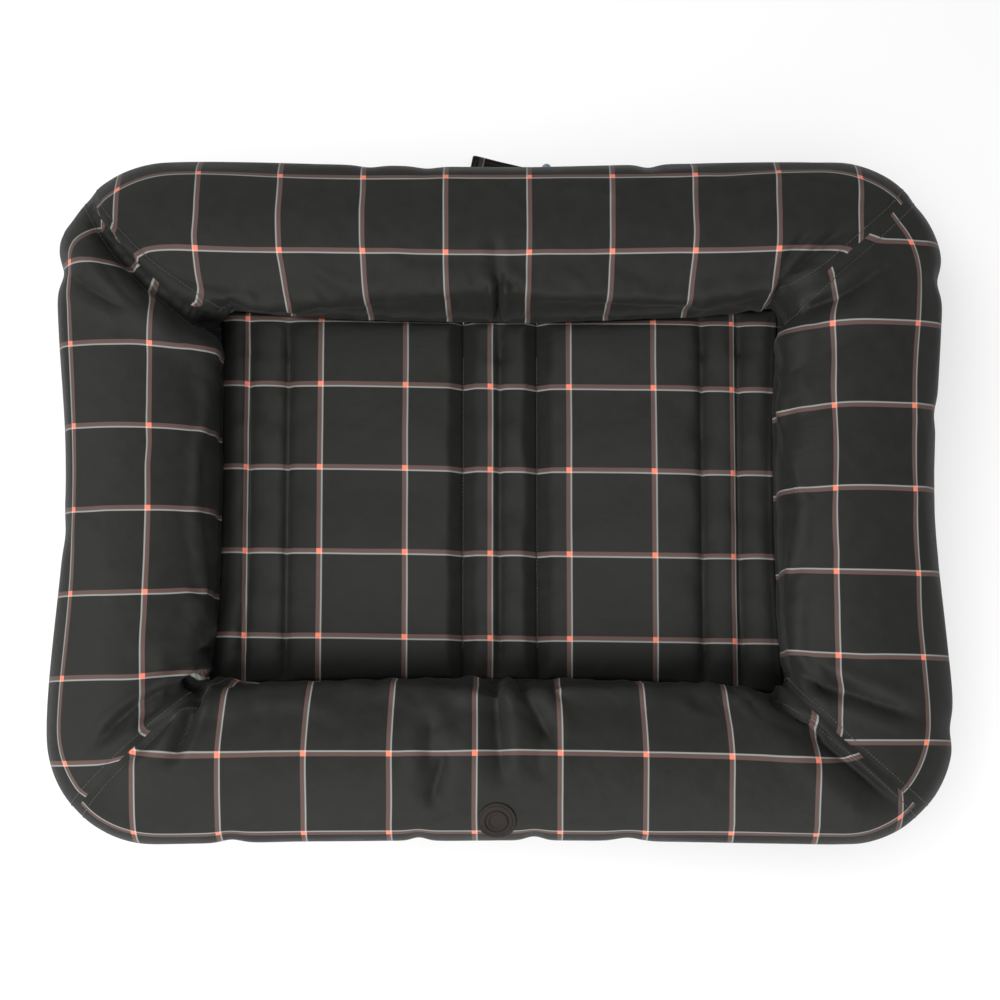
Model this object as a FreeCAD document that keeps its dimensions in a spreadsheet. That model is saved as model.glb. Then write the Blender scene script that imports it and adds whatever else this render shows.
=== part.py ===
"""Pet cushion bed: four mitred bolsters round a quilted pad, folding in half at a narrow spine.

The bed lies flat with +Z up and the centre of its underside at the origin. X runs along the long
side and +Y towards the back. The front edge carries a round badge and the back edge a closing tab.
Every soft piece is a plain closed solid, and the two fold lines part the bed into a left half, a
spine and a right half.
"""

import FreeCAD, Part
import os
import re

import Sketcher

doc = FreeCAD.newDocument("pet_cushion_bed")

# ---------------------------------------------------------------- driving dimensions, millimetres
SIZES = [
    ("bed_length", 800, "overall length, left to right"),
    ("bed_width", 610, "overall width, front to back"),
    ("bed_height", 106, "floor to the crest of the bolsters"),
    ("outline_radius", 92, "plan radius of the outer corners"),
    ("hollow_length", 504, "length of the sleeping hollow at the pad seam"),
    ("hollow_width", 340, "width of the sleeping hollow at the pad seam"),
    ("hollow_radius", 6, "plan radius of the hollow's corners"),
    ("crown_radius", 60, "rounding of a bolster's top edges"),
    ("keel_radius", 30, "rounding of a bolster's outer bottom edge"),
    ("cover_skin", 1.5, "thickness of the bolster fabric"),
    ("base_skin", 2, "thickness of the base sheet with its coating"),
    ("fold_line", 34, "distance of each fold line from the middle"),
    ("fold_gap", 0.2, "half the clearance left between bodies at a fold line"),
    ("seam_gap", 2, "clearance between pad and bolster at their seam"),
    ("quilt_skin", 1.2, "thickness of the pad's quilted fabric"),
    ("quilt_overlap", 1.2, "how far neighbouring pad channels share fabric at a stitch line"),
    ("main_loft", 28, "height of the wide pad channels above the floor"),
    ("strip_loft", 15, "height of the narrow pad channels above the floor"),
    ("main_end", 188, "outer stitch line of the wide channel"),
    ("strip_end", 221, "outer stitch line of the narrow side channel"),
    ("badge_radius", 17, "radius of the badge"),
    ("badge_depth", 2.4, "thickness of the badge"),
    ("badge_inset", 17, "plan distance of the badge's centre from the front outline"),
    ("badge_groove", 0.8, "width and depth of the badge's pressed ring"),
    ("badge_lift", 0.1, "clearance between the badge and the fabric under it"),
    ("tab_width", 52, "width of the closing tab"),
    ("tab_length", 70, "length of the tab before its root is trimmed along the seam"),
    ("tab_skew", 11, "turn of the tab in plan, degrees"),
    ("tab_skin", 1.8, "thickness of the doubled tab fabric"),
    ("tab_root", 276, "distance of the tab's root from the middle"),
    ("tab_corner", 23, "distance of the tab's outer left corner from the middle line"),
    ("tab_end", 325, "distance of the tab's outer left corner from the middle"),
    ("stud_radius", 4.6, "radius of the press stud's cap"),
    ("stud_depth", 2.6, "height of the press stud's cap"),
    ("stud_round", 1.8, "rounding of the press stud's cap"),
    ("stud_side", 49, "distance of the press stud from the middle line"),
    ("stud_level", 52, "height of the press stud above the floor"),
    ("socket_radius", 5.5, "radius of the tab's press stud socket"),
    ("socket_depth", 1.5, "height of the socket ring"),
    ("socket_hole", 2, "radius of the hole in the socket"),
    ("socket_round", 0.5, "rounding of the socket's rim"),
    ("socket_place", 292, "distance of the socket from the middle"),
    ("tool_margin", 60, "how far the dividing solids reach past what they divide"),
]

sizes = doc.addObject("Spreadsheet::Sheet", "Sizes")
for row, (alias, value, meaning) in enumerate(SIZES, start=1):
    sizes.set(f"A{row}", meaning)
    sizes.set(f"B{row}", str(value))
    sizes.setAlias(f"B{row}", alias)
doc.recompute()

nodes = []


def size(alias):
    """Value of one sheet cell."""
    return float(sizes.get(alias))


def cells(text):
    """Expression with each alias, a word with an underscore, written as a reference to the sheet."""
    return re.sub(r"[a-z]+(_[a-z]+)+", r"Sizes.\g<0>", text)


def bind(obj, **expressions):
    """Bind properties to expressions; a double underscore stands for a dot."""
    for prop, text in expressions.items():
        obj.setExpression(prop.replace("__", "."), cells(text))
    return obj


def place(obj, x_pos="0", y_pos="0", z_pos="0"):
    """Bind an object's position to the sheet."""
    return bind(obj, Placement__Base__x=x_pos, Placement__Base__y=y_pos, Placement__Base__z=z_pos)


def keep(obj, label):
    """Name an object as a sub-part that is written out."""
    obj.Label = label
    nodes.append(obj)
    return obj


# ------------------------------------------------------------------------------- sketch helpers
def sketch_on(body, role, name):
    """Sketch attached to one of the body's own origin planes."""
    sketch = body.newObject("Sketcher::SketchObject", name)
    plane = next(item for item in body.Origin.OriginFeatures if item.Role == role)
    sketch.AttachmentSupport = [(plane, "")]
    sketch.MapMode = "FlatFace"
    return sketch


def rounded_rectangle(sketch, length, width, radius):
    """Rectangle with round corners about the sketch's origin, bound to three size expressions."""
    x_axis, y_axis = FreeCAD.Vector(1, 0, 0), FreeCAD.Vector(0, 1, 0)
    half_x, half_y, corner = 200.0, 150.0, 10.0
    quarter = 1.5707963267948966
    centres = [(half_x - corner, half_y - corner), (corner - half_x, half_y - corner),
               (corner - half_x, corner - half_y), (half_x - corner, corner - half_y)]
    arcs, lines = [], []
    for turn, (cx, cy) in enumerate(centres):
        circle = Part.Circle(FreeCAD.Vector(cx, cy, 0), FreeCAD.Vector(0, 0, 1), corner)
        arc = Part.ArcOfCircle(circle, turn * quarter, (turn + 1) * quarter)
        arcs.append(sketch.addGeometry(arc, False))
    for turn in range(4):
        (ax, ay), (bx, by) = centres[turn], centres[(turn + 1) % 4]
        out = (y_axis, -x_axis, -y_axis, x_axis)[turn] * corner
        start = FreeCAD.Vector(ax, ay, 0) + out
        end = FreeCAD.Vector(bx, by, 0) + out
        lines.append(sketch.addGeometry(Part.LineSegment(start, end), False))
    for turn in range(4):
        sketch.addConstraint(Sketcher.Constraint("Tangent", arcs[turn], 2, lines[turn], 1))
        following = arcs[(turn + 1) % 4]
        sketch.addConstraint(Sketcher.Constraint("Tangent", lines[turn], 2, following, 1))
        level = "Horizontal" if turn % 2 == 0 else "Vertical"
        sketch.addConstraint(Sketcher.Constraint(level, lines[turn]))
    for turn in range(1, 4):
        sketch.addConstraint(Sketcher.Constraint("Equal", arcs[0], arcs[turn]))
    sketch.addConstraint(Sketcher.Constraint("Symmetric", arcs[0], 3, arcs[2], 3, -1, 1))
    named = [("Radius", (arcs[0], corner), radius),
             ("DistanceX", (lines[1], 1, lines[3], 1, 2 * half_x), length),
             ("DistanceY", (lines[2], 1, lines[0], 1, 2 * half_y), width)]
    for kind, values, text in named:
        index = sketch.addConstraint(Sketcher.Constraint(kind, *values))
        sketch.setExpression(f"Constraints[{index}]", cells(text))


def edges_at(shape, level, inside, half_length):
    """Names of the level edges at one height, inside or outside the hollow's outline."""
    names = []
    for index, edge in enumerate(shape.Edges, start=1):
        box = edge.BoundBox
        flat = abs(box.ZMin - level) < 1e-4 and abs(box.ZMax - level) < 1e-4
        inner = max(abs(box.XMin), abs(box.XMax)) <= half_length + 1e-3
        if flat and inner == inside:
            names.append(f"Edge{index}")
    return names


# -------------------------------------------------------------------- bolster ring, cover and fill
def make_ring(name, inset):
    """Soft ring: a rounded slab with a hollow, its edges rounded over; inset shrinks it all round."""
    body = doc.addObject("PartDesign::Body", name)
    outline = sketch_on(body, "XY_Plane", f"{name}_outline")
    rounded_rectangle(outline, f"bed_length - 2 * {inset}", f"bed_width - 2 * {inset}",
                      f"outline_radius - {inset}")
    bind(outline, AttachmentOffset__Base__z=f"base_skin + {inset}")
    slab = body.newObject("PartDesign::Pad", f"{name}_slab")
    slab.Profile = outline
    bind(slab, Length=f"bed_height - base_skin - 2 * {inset}")
    doc.recompute()

    mouth = sketch_on(body, "XY_Plane", f"{name}_mouth")
    rounded_rectangle(mouth, f"hollow_length + 2 * {inset}", f"hollow_width + 2 * {inset}",
                      f"hollow_radius + {inset}")
    hollow = body.newObject("PartDesign::Pocket", f"{name}_hollow")
    hollow.Profile = mouth
    hollow.Type = "ThroughAll"
    hollow.Reversed = True
    doc.recompute()
    if not hollow.Shape.Volume < 0.9 * slab.Shape.Volume:
        raise RuntimeError(f"{name}: the hollow cuts nothing")

    skin = size(inset) if inset != "0" else 0.0
    top, bottom = size("bed_height") - skin, size("base_skin") + skin
    half = size("hollow_length") / 2 + skin
    base = hollow
    rounds = [("keel", bottom, False, "keel_radius"), ("crown", top, False, "crown_radius"),
              ("lip", top, True, "crown_radius")]
    for feature, level, inside, radius in rounds:
        rounding = body.newObject("PartDesign::Fillet", f"{name}_{feature}")
        rounding.Base = (base, edges_at(base.Shape, level, inside, half))
        bind(rounding, Radius=f"{radius} - {inset}")
        doc.recompute()
        if not rounding.Shape.Volume < base.Shape.Volume:
            raise RuntimeError(f"{name}: the {feature} rounding takes nothing off")
        base = rounding
    return body


outer_ring = make_ring("outer_ring", "0")
inner_ring = make_ring("inner_ring", "cover_skin")
skin_ring = doc.addObject("Part::Cut", "skin_ring")
skin_ring.Base, skin_ring.Tool = outer_ring, inner_ring


# ------------------------------------------- dividing solids: mitres at the corners, fold lines
def sector(name, low_left, low_right, high_left, high_right, low, high, turn=0):
    """Upright trapezium prism; left and right limits at its low and high end along local Y."""
    prism = doc.addObject("Part::Wedge", name)
    bind(prism, Xmin=low_left, Xmax=low_right, X2min=high_left, X2max=high_right,
         Ymin=low, Ymax=high, Zmin="-tool_margin", Z2min="-tool_margin",
         Zmax="bed_height + tool_margin", Z2max="bed_height + tool_margin")
    prism.Placement = FreeCAD.Placement(FreeCAD.Vector(), FreeCAD.Rotation(turn, 0, 0))
    return prism


NEAR_Y = "(hollow_width / 2 - tool_margin)"
FAR_Y = "(bed_width / 2 + tool_margin)"
NEAR_X = "(hollow_length / 2 - tool_margin)"
FAR_X = "(bed_length / 2 + 1.5 * tool_margin)"
MITRE_SHIFT = "(hollow_length / 2 - hollow_width / 2)"
FOLD_OUT = "(fold_line + fold_gap)"
FOLD_IN = "(fold_line - fold_gap)"

near_mitre, far_mitre = f"({NEAR_Y} + {MITRE_SHIFT})", f"({FAR_Y} + {MITRE_SHIFT})"
near_end, far_end = f"({NEAR_X} - {MITRE_SHIFT})", f"({FAR_X} - {MITRE_SHIFT})"
sectors = {
    "back_left": sector("back_left_sector", f"-{near_mitre}", f"-{FOLD_OUT}",
                        f"-{far_mitre}", f"-{FOLD_OUT}", NEAR_Y, FAR_Y),
    "back_centre": sector("back_centre_sector", f"-{FOLD_IN}", FOLD_IN,
                          f"-{FOLD_IN}", FOLD_IN, NEAR_Y, FAR_Y),
    "back_right": sector("back_right_sector", FOLD_OUT, near_mitre,
                         FOLD_OUT, far_mitre, NEAR_Y, FAR_Y),
    "front_left": sector("front_left_sector", f"-{far_mitre}", f"-{FOLD_OUT}",
                         f"-{near_mitre}", f"-{FOLD_OUT}", f"-{FAR_Y}", f"-{NEAR_Y}"),
    "front_centre": sector("front_centre_sector", f"-{FOLD_IN}", FOLD_IN,
                           f"-{FOLD_IN}", FOLD_IN, f"-{FAR_Y}", f"-{NEAR_Y}"),
    "front_right": sector("front_right_sector", FOLD_OUT, far_mitre,
                          FOLD_OUT, near_mitre, f"-{FAR_Y}", f"-{NEAR_Y}"),
    "left_side": sector("left_side_sector", f"-{near_end}", near_end,
                        f"-{far_end}", far_end, NEAR_X, FAR_X, turn=90),
    "right_side": sector("right_side_sector", f"-{near_end}", near_end,
                         f"-{far_end}", far_end, NEAR_X, FAR_X, turn=-90),
}
for place_name, prism in sectors.items():
    for layer, ring in (("cover", skin_ring), ("fill", inner_ring)):
        piece = doc.addObject("Part::Common", f"{place_name}_{layer}_cut")
        piece.Base, piece.Tool = ring, prism
        keep(piece, f"{place_name}_bolster_{layer}")


# ----------------------------------------------------------------- base sheet, in three panels
base_body = doc.addObject("PartDesign::Body", "base_sheet_whole")
base_outline = sketch_on(base_body, "XY_Plane", "base_outline")
rounded_rectangle(base_outline, "bed_length - 2 * keel_radius", "bed_width - 2 * keel_radius",
                  "outline_radius - keel_radius")
base_pad = base_body.newObject("PartDesign::Pad", "base_pad")
base_pad.Profile = base_outline
bind(base_pad, Length="base_skin")

for side, low, high in (("left", f"-{FAR_X}", f"-{FOLD_OUT}"),
                        ("spine", f"-{FOLD_IN}", FOLD_IN),
                        ("right", FOLD_OUT, FAR_X)):
    band = sector(f"base_band_{side}", low, high, low, high, f"-{FAR_Y}", FAR_Y)
    panel = doc.addObject("Part::Common", f"base_panel_{side}_cut")
    panel.Base, panel.Tool = base_body, band
    keep(panel, f"base_panel_{side}")


# ------------------------------------------------- quilted pad: one cover and its waddings a body
def pillow(name, low_x, high_x, loft, skin):
    """Channel of the pad: a slab whose four sides slope in at 45 degrees, skin thinner all round."""
    rise = f"({loft} - base_skin - {skin})"
    low, high = f"({low_x} + 1.5 * {skin})", f"({high_x} - 1.5 * {skin})"
    half_y = f"(hollow_width / 2 - seam_gap - 1.5 * {skin})"
    block = doc.addObject("Part::Wedge", name)
    bind(block, Xmin=low, Xmax=high, X2min=f"{low} + {rise}", X2max=f"{high} - {rise}",
         Zmin=f"-{half_y}", Zmax=half_y, Z2min=f"{rise} - {half_y}", Z2max=f"{half_y} - {rise}",
         Ymin="base_skin", Ymax=f"{loft} - {skin}")
    block.Placement = FreeCAD.Placement(FreeCAD.Vector(), FreeCAD.Rotation(0, 0, 90))
    return block


HOLLOW_END = "(hollow_length / 2 - seam_gap)"
# channels of each part of the pad: name, limits and loft; a stitch line is shared by its neighbours
CHANNELS = {
    "left": [("edge", f"-{HOLLOW_END}", "-strip_end", "strip_loft"),
             ("strip", "-strip_end", "-main_end", "strip_loft"),
             ("main", "-main_end", f"-{FOLD_OUT}", "main_loft")],
    "spine": [("left_strip", f"-{FOLD_IN}", "0", "strip_loft"),
              ("right_strip", "0", FOLD_IN, "strip_loft")],
    "right": [("main", FOLD_OUT, "main_end", "main_loft"),
              ("strip", "main_end", "strip_end", "strip_loft"),
              ("edge", "strip_end", HOLLOW_END, "strip_loft")],
}
STITCH_LINES = ("-strip_end", "-main_end", "0", "main_end", "strip_end")
for side, channels in CHANNELS.items():
    shells, waddings = [], []
    for channel, low, high, loft in channels:
        low_shared = "quilt_overlap" if low in STITCH_LINES else "0"
        high_shared = "quilt_overlap" if high in STITCH_LINES else "0"
        shells.append(pillow(f"shell_{side}_{channel}", f"({low} - {low_shared})",
                             f"({high} + {high_shared})", loft, "0"))
        wadding = pillow(f"wadding_{side}_{channel}_block", low, high, loft, "quilt_skin")
        waddings.append(keep(wadding, f"wadding_{side}_{channel}"))
    outer = doc.addObject("Part::MultiFuse", f"quilt_outer_{side}")
    outer.Shapes = shells
    inner = doc.addObject("Part::MultiFuse", f"quilt_inner_{side}")
    inner.Shapes = waddings
    quilt = doc.addObject("Part::Cut", f"quilt_{side}")
    quilt.Base, quilt.Tool = outer, inner
    keep(quilt, f"pad_cover_{side}")


# --------------------------------------------------------------- badge, press stud and its socket
def disc_body(name, radius, depth, rounding):
    """Round disc standing on its own XY plane, its front rim rounded over."""
    body = doc.addObject("PartDesign::Body", f"{name}_body")
    outline = sketch_on(body, "XY_Plane", f"{name}_outline")
    add_circle(outline, radius)
    disc = body.newObject("PartDesign::Pad", f"{name}_disc")
    disc.Profile = outline
    bind(disc, Length=depth)
    doc.recompute()
    rim = body.newObject("PartDesign::Fillet", f"{name}_rim")
    front = [f"Edge{index}" for index, edge in enumerate(disc.Shape.Edges, start=1)
             if edge.BoundBox.ZMin > size(depth) - 1e-6]
    rim.Base = (disc, front)
    bind(rim, Radius=rounding)
    doc.recompute()
    return body


def add_circle(sketch, radius):
    """Circle about the sketch's origin, its radius bound to an expression."""
    circle = sketch.addGeometry(Part.Circle(FreeCAD.Vector(), FreeCAD.Vector(0, 0, 1), 10), False)
    sketch.addConstraint(Sketcher.Constraint("Coincident", circle, 3, -1, 1))
    index = sketch.addConstraint(Sketcher.Constraint("Radius", circle, 10))
    sketch.setExpression(f"Constraints[{index}]", cells(radius))


def pocket_in(body, name, radii, depth, level):
    """Cut the area between circles down from a level, and make sure that it cuts."""
    before = body.Shape.Volume
    outline = sketch_on(body, "XY_Plane", f"{name}_outline")
    bind(outline, AttachmentOffset__Base__z=level)
    for radius in radii:
        add_circle(outline, radius)
    pocket = body.newObject("PartDesign::Pocket", name)
    pocket.Profile = outline
    bind(pocket, Length=depth)
    doc.recompute()
    if not body.Shape.Volume < before:
        raise RuntimeError(f"{name} cuts nothing")


badge = disc_body("badge", "badge_radius", "badge_depth", "badge_groove")
pocket_in(badge, "badge_ring", ("badge_radius * 0.7", "badge_radius * 0.7 + badge_groove"),
          "badge_groove", "badge_depth")
slope = "asin((crown_radius - badge_inset) / crown_radius)"
badge.Placement = FreeCAD.Placement(FreeCAD.Vector(), FreeCAD.Rotation(FreeCAD.Vector(1, 0, 0), 1))
bind(badge, Placement__Rotation__Angle=slope)
place(badge, y_pos=f"-bed_width / 2 + badge_inset - badge_lift * sin({slope})",
      z_pos=f"bed_height - crown_radius + (crown_radius + badge_lift) * cos({slope})")
keep(badge, "badge")

stud = disc_body("stud", "stud_radius", "stud_depth", "stud_round")
stud.Placement = FreeCAD.Placement(FreeCAD.Vector(), FreeCAD.Rotation(FreeCAD.Vector(1, 0, 0), -90))
place(stud, x_pos="stud_side", y_pos="bed_width / 2 + badge_lift", z_pos="stud_level")
keep(stud, "press_stud")

socket = disc_body("socket", "socket_radius", "socket_depth", "socket_round")
pocket_in(socket, "socket_well", ("socket_hole",), "socket_depth", "socket_depth")
place(socket, y_pos="socket_place", z_pos="tab_skin")
keep(socket, "press_stud_socket")


# ------------------------------------------- closing tab, turned a little and trimmed at its seam
tab_cloth = doc.addObject("Part::Box", "tab_cloth")
bind(tab_cloth, Length="tab_width", Width="tab_length", Height="tab_skin")
tab_cloth.Placement = FreeCAD.Placement(FreeCAD.Vector(), FreeCAD.Rotation(FreeCAD.Vector(0, 0, -1), 1))
bind(tab_cloth, Placement__Rotation__Angle="tab_skew")
place(tab_cloth, x_pos="-tab_corner - tab_length * sin(tab_skew)",
      y_pos="tab_end - tab_length * cos(tab_skew)")
behind_seam = doc.addObject("Part::Box", "behind_seam")
bind(behind_seam, Length="bed_length", Width="tool_margin", Height="bed_height")
place(behind_seam, x_pos="-bed_length / 2", y_pos="tab_root")
tab = doc.addObject("Part::Common", "tab_trimmed")
tab.Base, tab.Tool = tab_cloth, behind_seam
keep(tab, "closing_tab")


# ---------------------------------------------------------------------------- check and write out
doc.recompute()
faults = [f"{item.Label}: {state}" for item in doc.Objects for state in item.State
          if state in ("Invalid", "Error")]
for node in nodes:
    shape = node.Shape
    if shape.isNull() or not shape.isValid() or len(shape.Solids) != 1:
        faults.append(f"{node.Label}: its shape is not one valid solid")
if faults:
    raise RuntimeError("; ".join(faults))

os.makedirs("parts", exist_ok=True)
for node in nodes:
    box = node.Shape.BoundBox
    node.Shape.exportStep(f"parts/{node.Label}.step")
    print(f"{node.Label}: {box.XLength:.1f} x {box.YLength:.1f} x {box.ZLength:.1f} mm, "
          f"{node.Shape.Volume / 1000:.1f} cm3")
print(f"{len(nodes)} sub-parts")
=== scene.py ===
# %% [markdown]
# # A quilted pet bed with a padded rim
#
# The real bed is four stuffed bolsters in one ring, a thin quilted pad inside the ring, a base sheet
# under both, a small leather badge, and a cloth tab that closes the bed when it is folded in half.
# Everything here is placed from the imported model, which Blender loads first as a fixed frame.

# %% Load the frame
import math

import bpy
import numpy as np
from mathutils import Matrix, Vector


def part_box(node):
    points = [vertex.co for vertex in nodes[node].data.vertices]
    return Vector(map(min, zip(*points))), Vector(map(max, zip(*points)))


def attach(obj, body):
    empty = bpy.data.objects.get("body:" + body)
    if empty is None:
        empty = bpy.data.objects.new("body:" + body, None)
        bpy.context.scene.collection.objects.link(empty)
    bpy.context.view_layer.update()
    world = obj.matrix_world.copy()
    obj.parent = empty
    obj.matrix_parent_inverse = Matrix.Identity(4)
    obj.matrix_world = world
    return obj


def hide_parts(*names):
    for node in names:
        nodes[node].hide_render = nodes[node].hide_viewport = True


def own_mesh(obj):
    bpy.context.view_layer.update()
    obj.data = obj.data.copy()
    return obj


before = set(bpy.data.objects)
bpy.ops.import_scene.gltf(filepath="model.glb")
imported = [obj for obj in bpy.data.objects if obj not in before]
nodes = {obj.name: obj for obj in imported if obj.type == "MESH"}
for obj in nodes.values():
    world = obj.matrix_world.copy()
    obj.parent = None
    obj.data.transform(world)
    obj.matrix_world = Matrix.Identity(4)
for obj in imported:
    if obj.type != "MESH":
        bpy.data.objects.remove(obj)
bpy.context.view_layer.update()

# %% [markdown]
# ## Where things are
#
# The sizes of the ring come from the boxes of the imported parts: how far the bolsters reach, how high
# they stand, and where the hollow and the two fold lines are. A reader can print any of them.

# %% Read the bed's main sizes
BOLSTERS = [n for n in nodes if n.endswith("_bolster_cover")]
corners = np.array([[list(c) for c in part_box(n)] for n in BOLSTERS])
HALF_LONG, HALF_WIDE, TOP = corners[:, 1].max(axis=0)
FLOOR_Z = corners[:, 0, 2].min()
FOLD = float(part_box("pad_cover_spine")[1].x)
SEAM_GAP = 0.002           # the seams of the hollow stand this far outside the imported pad
HOLLOW_X = float(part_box("pad_cover_right")[1].x) + SEAM_GAP
HOLLOW_Y = float(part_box("pad_cover_right")[1].y) + SEAM_GAP
print("ring", HALF_LONG, HALF_WIDE, TOP, "sheet", FLOOR_Z, "fold", FOLD, "hollow", HOLLOW_X, HOLLOW_Y)

# %% [markdown]
# ## The camera, the floor and the light
#
# The bed lies on the floor and is seen from almost straight above, leaning a little towards the front.
# A long lens keeps its sides nearly parallel. A large soft lamp stands behind it at the left, a brighter
# panel stands in front at the left, and an even white sky does the rest, so that the dark cloth shows
# soft broad highlights. The front panel is two lamps in one place. One lights the bed alone and throws
# shadows, which keep the folds dark, and the other lights the floor alone and throws none, which keeps
# the floor pale. Which piece a lamp reaches is set after the floor is made, in the cell "Floor".

# %% Camera
LEAN, DISTANCE, LOOK_HEIGHT = math.radians(6.8), 2.05, 0.05
camera_data = bpy.data.cameras.new("camera")
camera_data.lens, camera_data.sensor_width = 82.4, 36.0
camera = bpy.data.objects.new("camera", camera_data)
camera.location = (0, -DISTANCE * math.sin(LEAN), LOOK_HEIGHT + DISTANCE * math.cos(LEAN))
camera.rotation_euler = (LEAN, 0, 0)
bpy.context.scene.collection.objects.link(camera)
bpy.context.scene.camera = camera
bpy.context.scene.view_settings.view_transform = "Standard"
print("camera", tuple(camera.location))

# %% Light
sky = bpy.data.worlds.new("studio")
bpy.context.scene.world = sky
sky.use_nodes = True
backdrop = sky.node_tree.nodes["Background"]
backdrop.inputs["Color"].default_value = (1.0, 1.0, 1.0, 1.0)
backdrop.inputs["Strength"].default_value = 0.56


def soft_lamp(name, place, size, power):
    """A square area lamp of that size in metres, turned to face the middle of the bed."""
    data = bpy.data.lights.new(name, "AREA")
    data.size, data.energy = size, power
    lamp = bpy.data.objects.new(name, data)
    lamp.location = place
    aim = -np.array(place)
    lamp.rotation_euler = (math.acos(-aim[2] / np.linalg.norm(aim)), 0,
                           math.atan2(aim[1], aim[0]) - math.pi / 2)
    bpy.context.scene.collection.objects.link(lamp)
    return lamp


FRONT_PANEL, FRONT_PANEL_SIZE = (-0.80, -1.30, 2.05), 1.2
soft_lamp("window", (-1.1, 1.3, 2.1), 1.6, 11)
bed_lamp = soft_lamp("front_panel", FRONT_PANEL, FRONT_PANEL_SIZE, 72)
floor_lamp = soft_lamp("floor_panel", FRONT_PANEL, FRONT_PANEL_SIZE, 52)
floor_lamp.data.use_shadow = False
print("lamps", [lamp.name for lamp in bpy.data.lights])

# %% [markdown]
# ## Small tools for meshes
#
# Every new piece is a grid of points worked out as whole arrays. These helpers turn a grid into faces,
# and faces into a Blender mesh with its texture coordinates.

# %% Grid and mesh helpers
def smooth(t):
    """Rises from 0 to 1 as t does, level at both ends: three t squared less two t cubed."""
    t = np.clip(t, 0, 1)
    return t * t * (3 - 2 * t)


def grid_quads(rows, columns, wrap_rows=False, wrap_columns=False):
    """Four corner numbers for each cell of a grid whose point (i, j) is number i * columns + j."""
    i, j = np.meshgrid(np.arange(rows if wrap_rows else rows - 1),
                       np.arange(columns if wrap_columns else columns - 1), indexing="ij")
    i2, j2 = (i + 1) % rows, (j + 1) % columns
    return np.stack([i * columns + j, i2 * columns + j, i2 * columns + j2, i * columns + j2],
                    axis=-1).reshape(-1, 4)


def new_piece(name, points, faces, material, uv=None):
    """A smooth mesh object at the origin. uv has one pair for each corner of each face, in metres of
    cloth."""
    mesh = bpy.data.meshes.new(name)
    mesh.from_pydata(np.asarray(points, float).reshape(-1, 3), [],
                     faces if isinstance(faces, list) else faces.tolist())
    if uv is not None:
        layer = mesh.uv_layers.new(name="cloth")
        layer.data.foreach_set("uv", np.asarray(uv, np.float32).ravel())
    mesh.polygons.foreach_set("use_smooth", np.full(len(mesh.polygons), True))
    if material is not None:
        mesh.materials.append(material)
    piece = bpy.data.objects.new(name, mesh)
    bpy.context.scene.collection.objects.link(piece)
    return piece


def mesh_points(mesh):
    """The mesh's points as an array of rows x, y, z."""
    flat = np.zeros(len(mesh.vertices) * 3)
    mesh.vertices.foreach_get("co", flat)
    return flat.reshape(-1, 3)


def mesh_normals(mesh):
    """The mesh's unit normals, one row for each point."""
    flat = np.zeros(len(mesh.vertices) * 3, np.float32)
    mesh.vertices.foreach_get("normal", flat)
    return flat.reshape(-1, 3)


def unit(vectors):
    """Each row at length one."""
    return vectors / np.maximum(np.linalg.norm(vectors, axis=-1, keepdims=True), 1e-12)


def ripple(x, y, seed, waves=7, low=8.0, high=40.0):
    """Gentle uneven noise between about -1 and 1: a sum of sines of mixed pitch, direction and phase."""
    draw = np.random.default_rng(seed)
    total = np.zeros(np.broadcast(x, y).shape)
    for rate, turn, phase in zip(draw.uniform(low, high, waves), draw.uniform(0, 2 * math.pi, waves),
                                 draw.uniform(0, 2 * math.pi, waves)):
        total = total + np.sin(rate * 2 * math.pi * (x * math.cos(turn) + y * math.sin(turn)) + phase)
    return total / math.sqrt(waves)


print("helpers ready")

# %% [markdown]
# ## The plaid cloth
#
# The cloth is a dark charcoal twill with a windowpane of paired threads: a brown band with a pale line
# beside it, in both directions. Where two bands cross, the weave shows bright orange, and where a band
# crosses a pale line it shows pink. The pattern follows the cloth, so it reads the piece's own texture
# coordinates, which are in metres along the warp and the weft. Each line is found with a wrap of the
# coordinate into one repeat, and each colour is laid over the last through a mask.

# %% Node helpers
PLAID_REPEAT, BAND_WIDTH, LINE_WIDTH = 0.076, 0.0037, 0.0014


def srgb(red, green, blue):
    """A colour given as 0 to 255 display values, turned into the linear values that a shader takes."""
    shown = np.array([red, green, blue]) / 255
    linear = np.where(shown <= 0.04045, shown / 12.92, ((shown + 0.055) / 1.055) ** 2.4)
    return (*map(float, linear), 1.0)


def start_material(name):
    """A new material, its node tree and its main shader."""
    material = bpy.data.materials.new(name)
    material.use_nodes = True
    return material, material.node_tree, material.node_tree.nodes["Principled BSDF"]


def put(tree, socket, value):
    """Links a socket into the input, or sets it to a plain value."""
    if isinstance(value, bpy.types.NodeSocket):
        tree.links.new(value, socket)
    else:
        socket.default_value = value


def calc(tree, operation, first, second=0.0, third=0.0):
    """One Math node."""
    node = tree.nodes.new("ShaderNodeMath")
    node.operation = operation
    for socket, value in zip(node.inputs, (first, second, third)):
        put(tree, socket, value)
    return node.outputs[0]


def lay_over(tree, mask, under, over):
    """The colour over laid on the colour under, as far as mask goes from 0 to 1."""
    node = tree.nodes.new("ShaderNodeMix")
    node.data_type = "RGBA"
    put(tree, node.inputs[0], mask)
    put(tree, node.inputs[6], under)
    put(tree, node.inputs[7], over)
    return node.outputs[2]


def soft_band(tree, coordinate, low, high, edge=0.00025):
    """1 between low and high, 0 outside, with a soft edge."""
    rise = tree.nodes.new("ShaderNodeMapRange")
    fall = tree.nodes.new("ShaderNodeMapRange")
    for node, start in ((rise, low), (fall, high)):
        node.interpolation_type = "SMOOTHSTEP"
        put(tree, node.inputs["Value"], coordinate)
        node.inputs["From Min"].default_value = start - edge
        node.inputs["From Max"].default_value = start + edge
    return calc(tree, "SUBTRACT", rise.outputs["Result"], fall.outputs["Result"])


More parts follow.
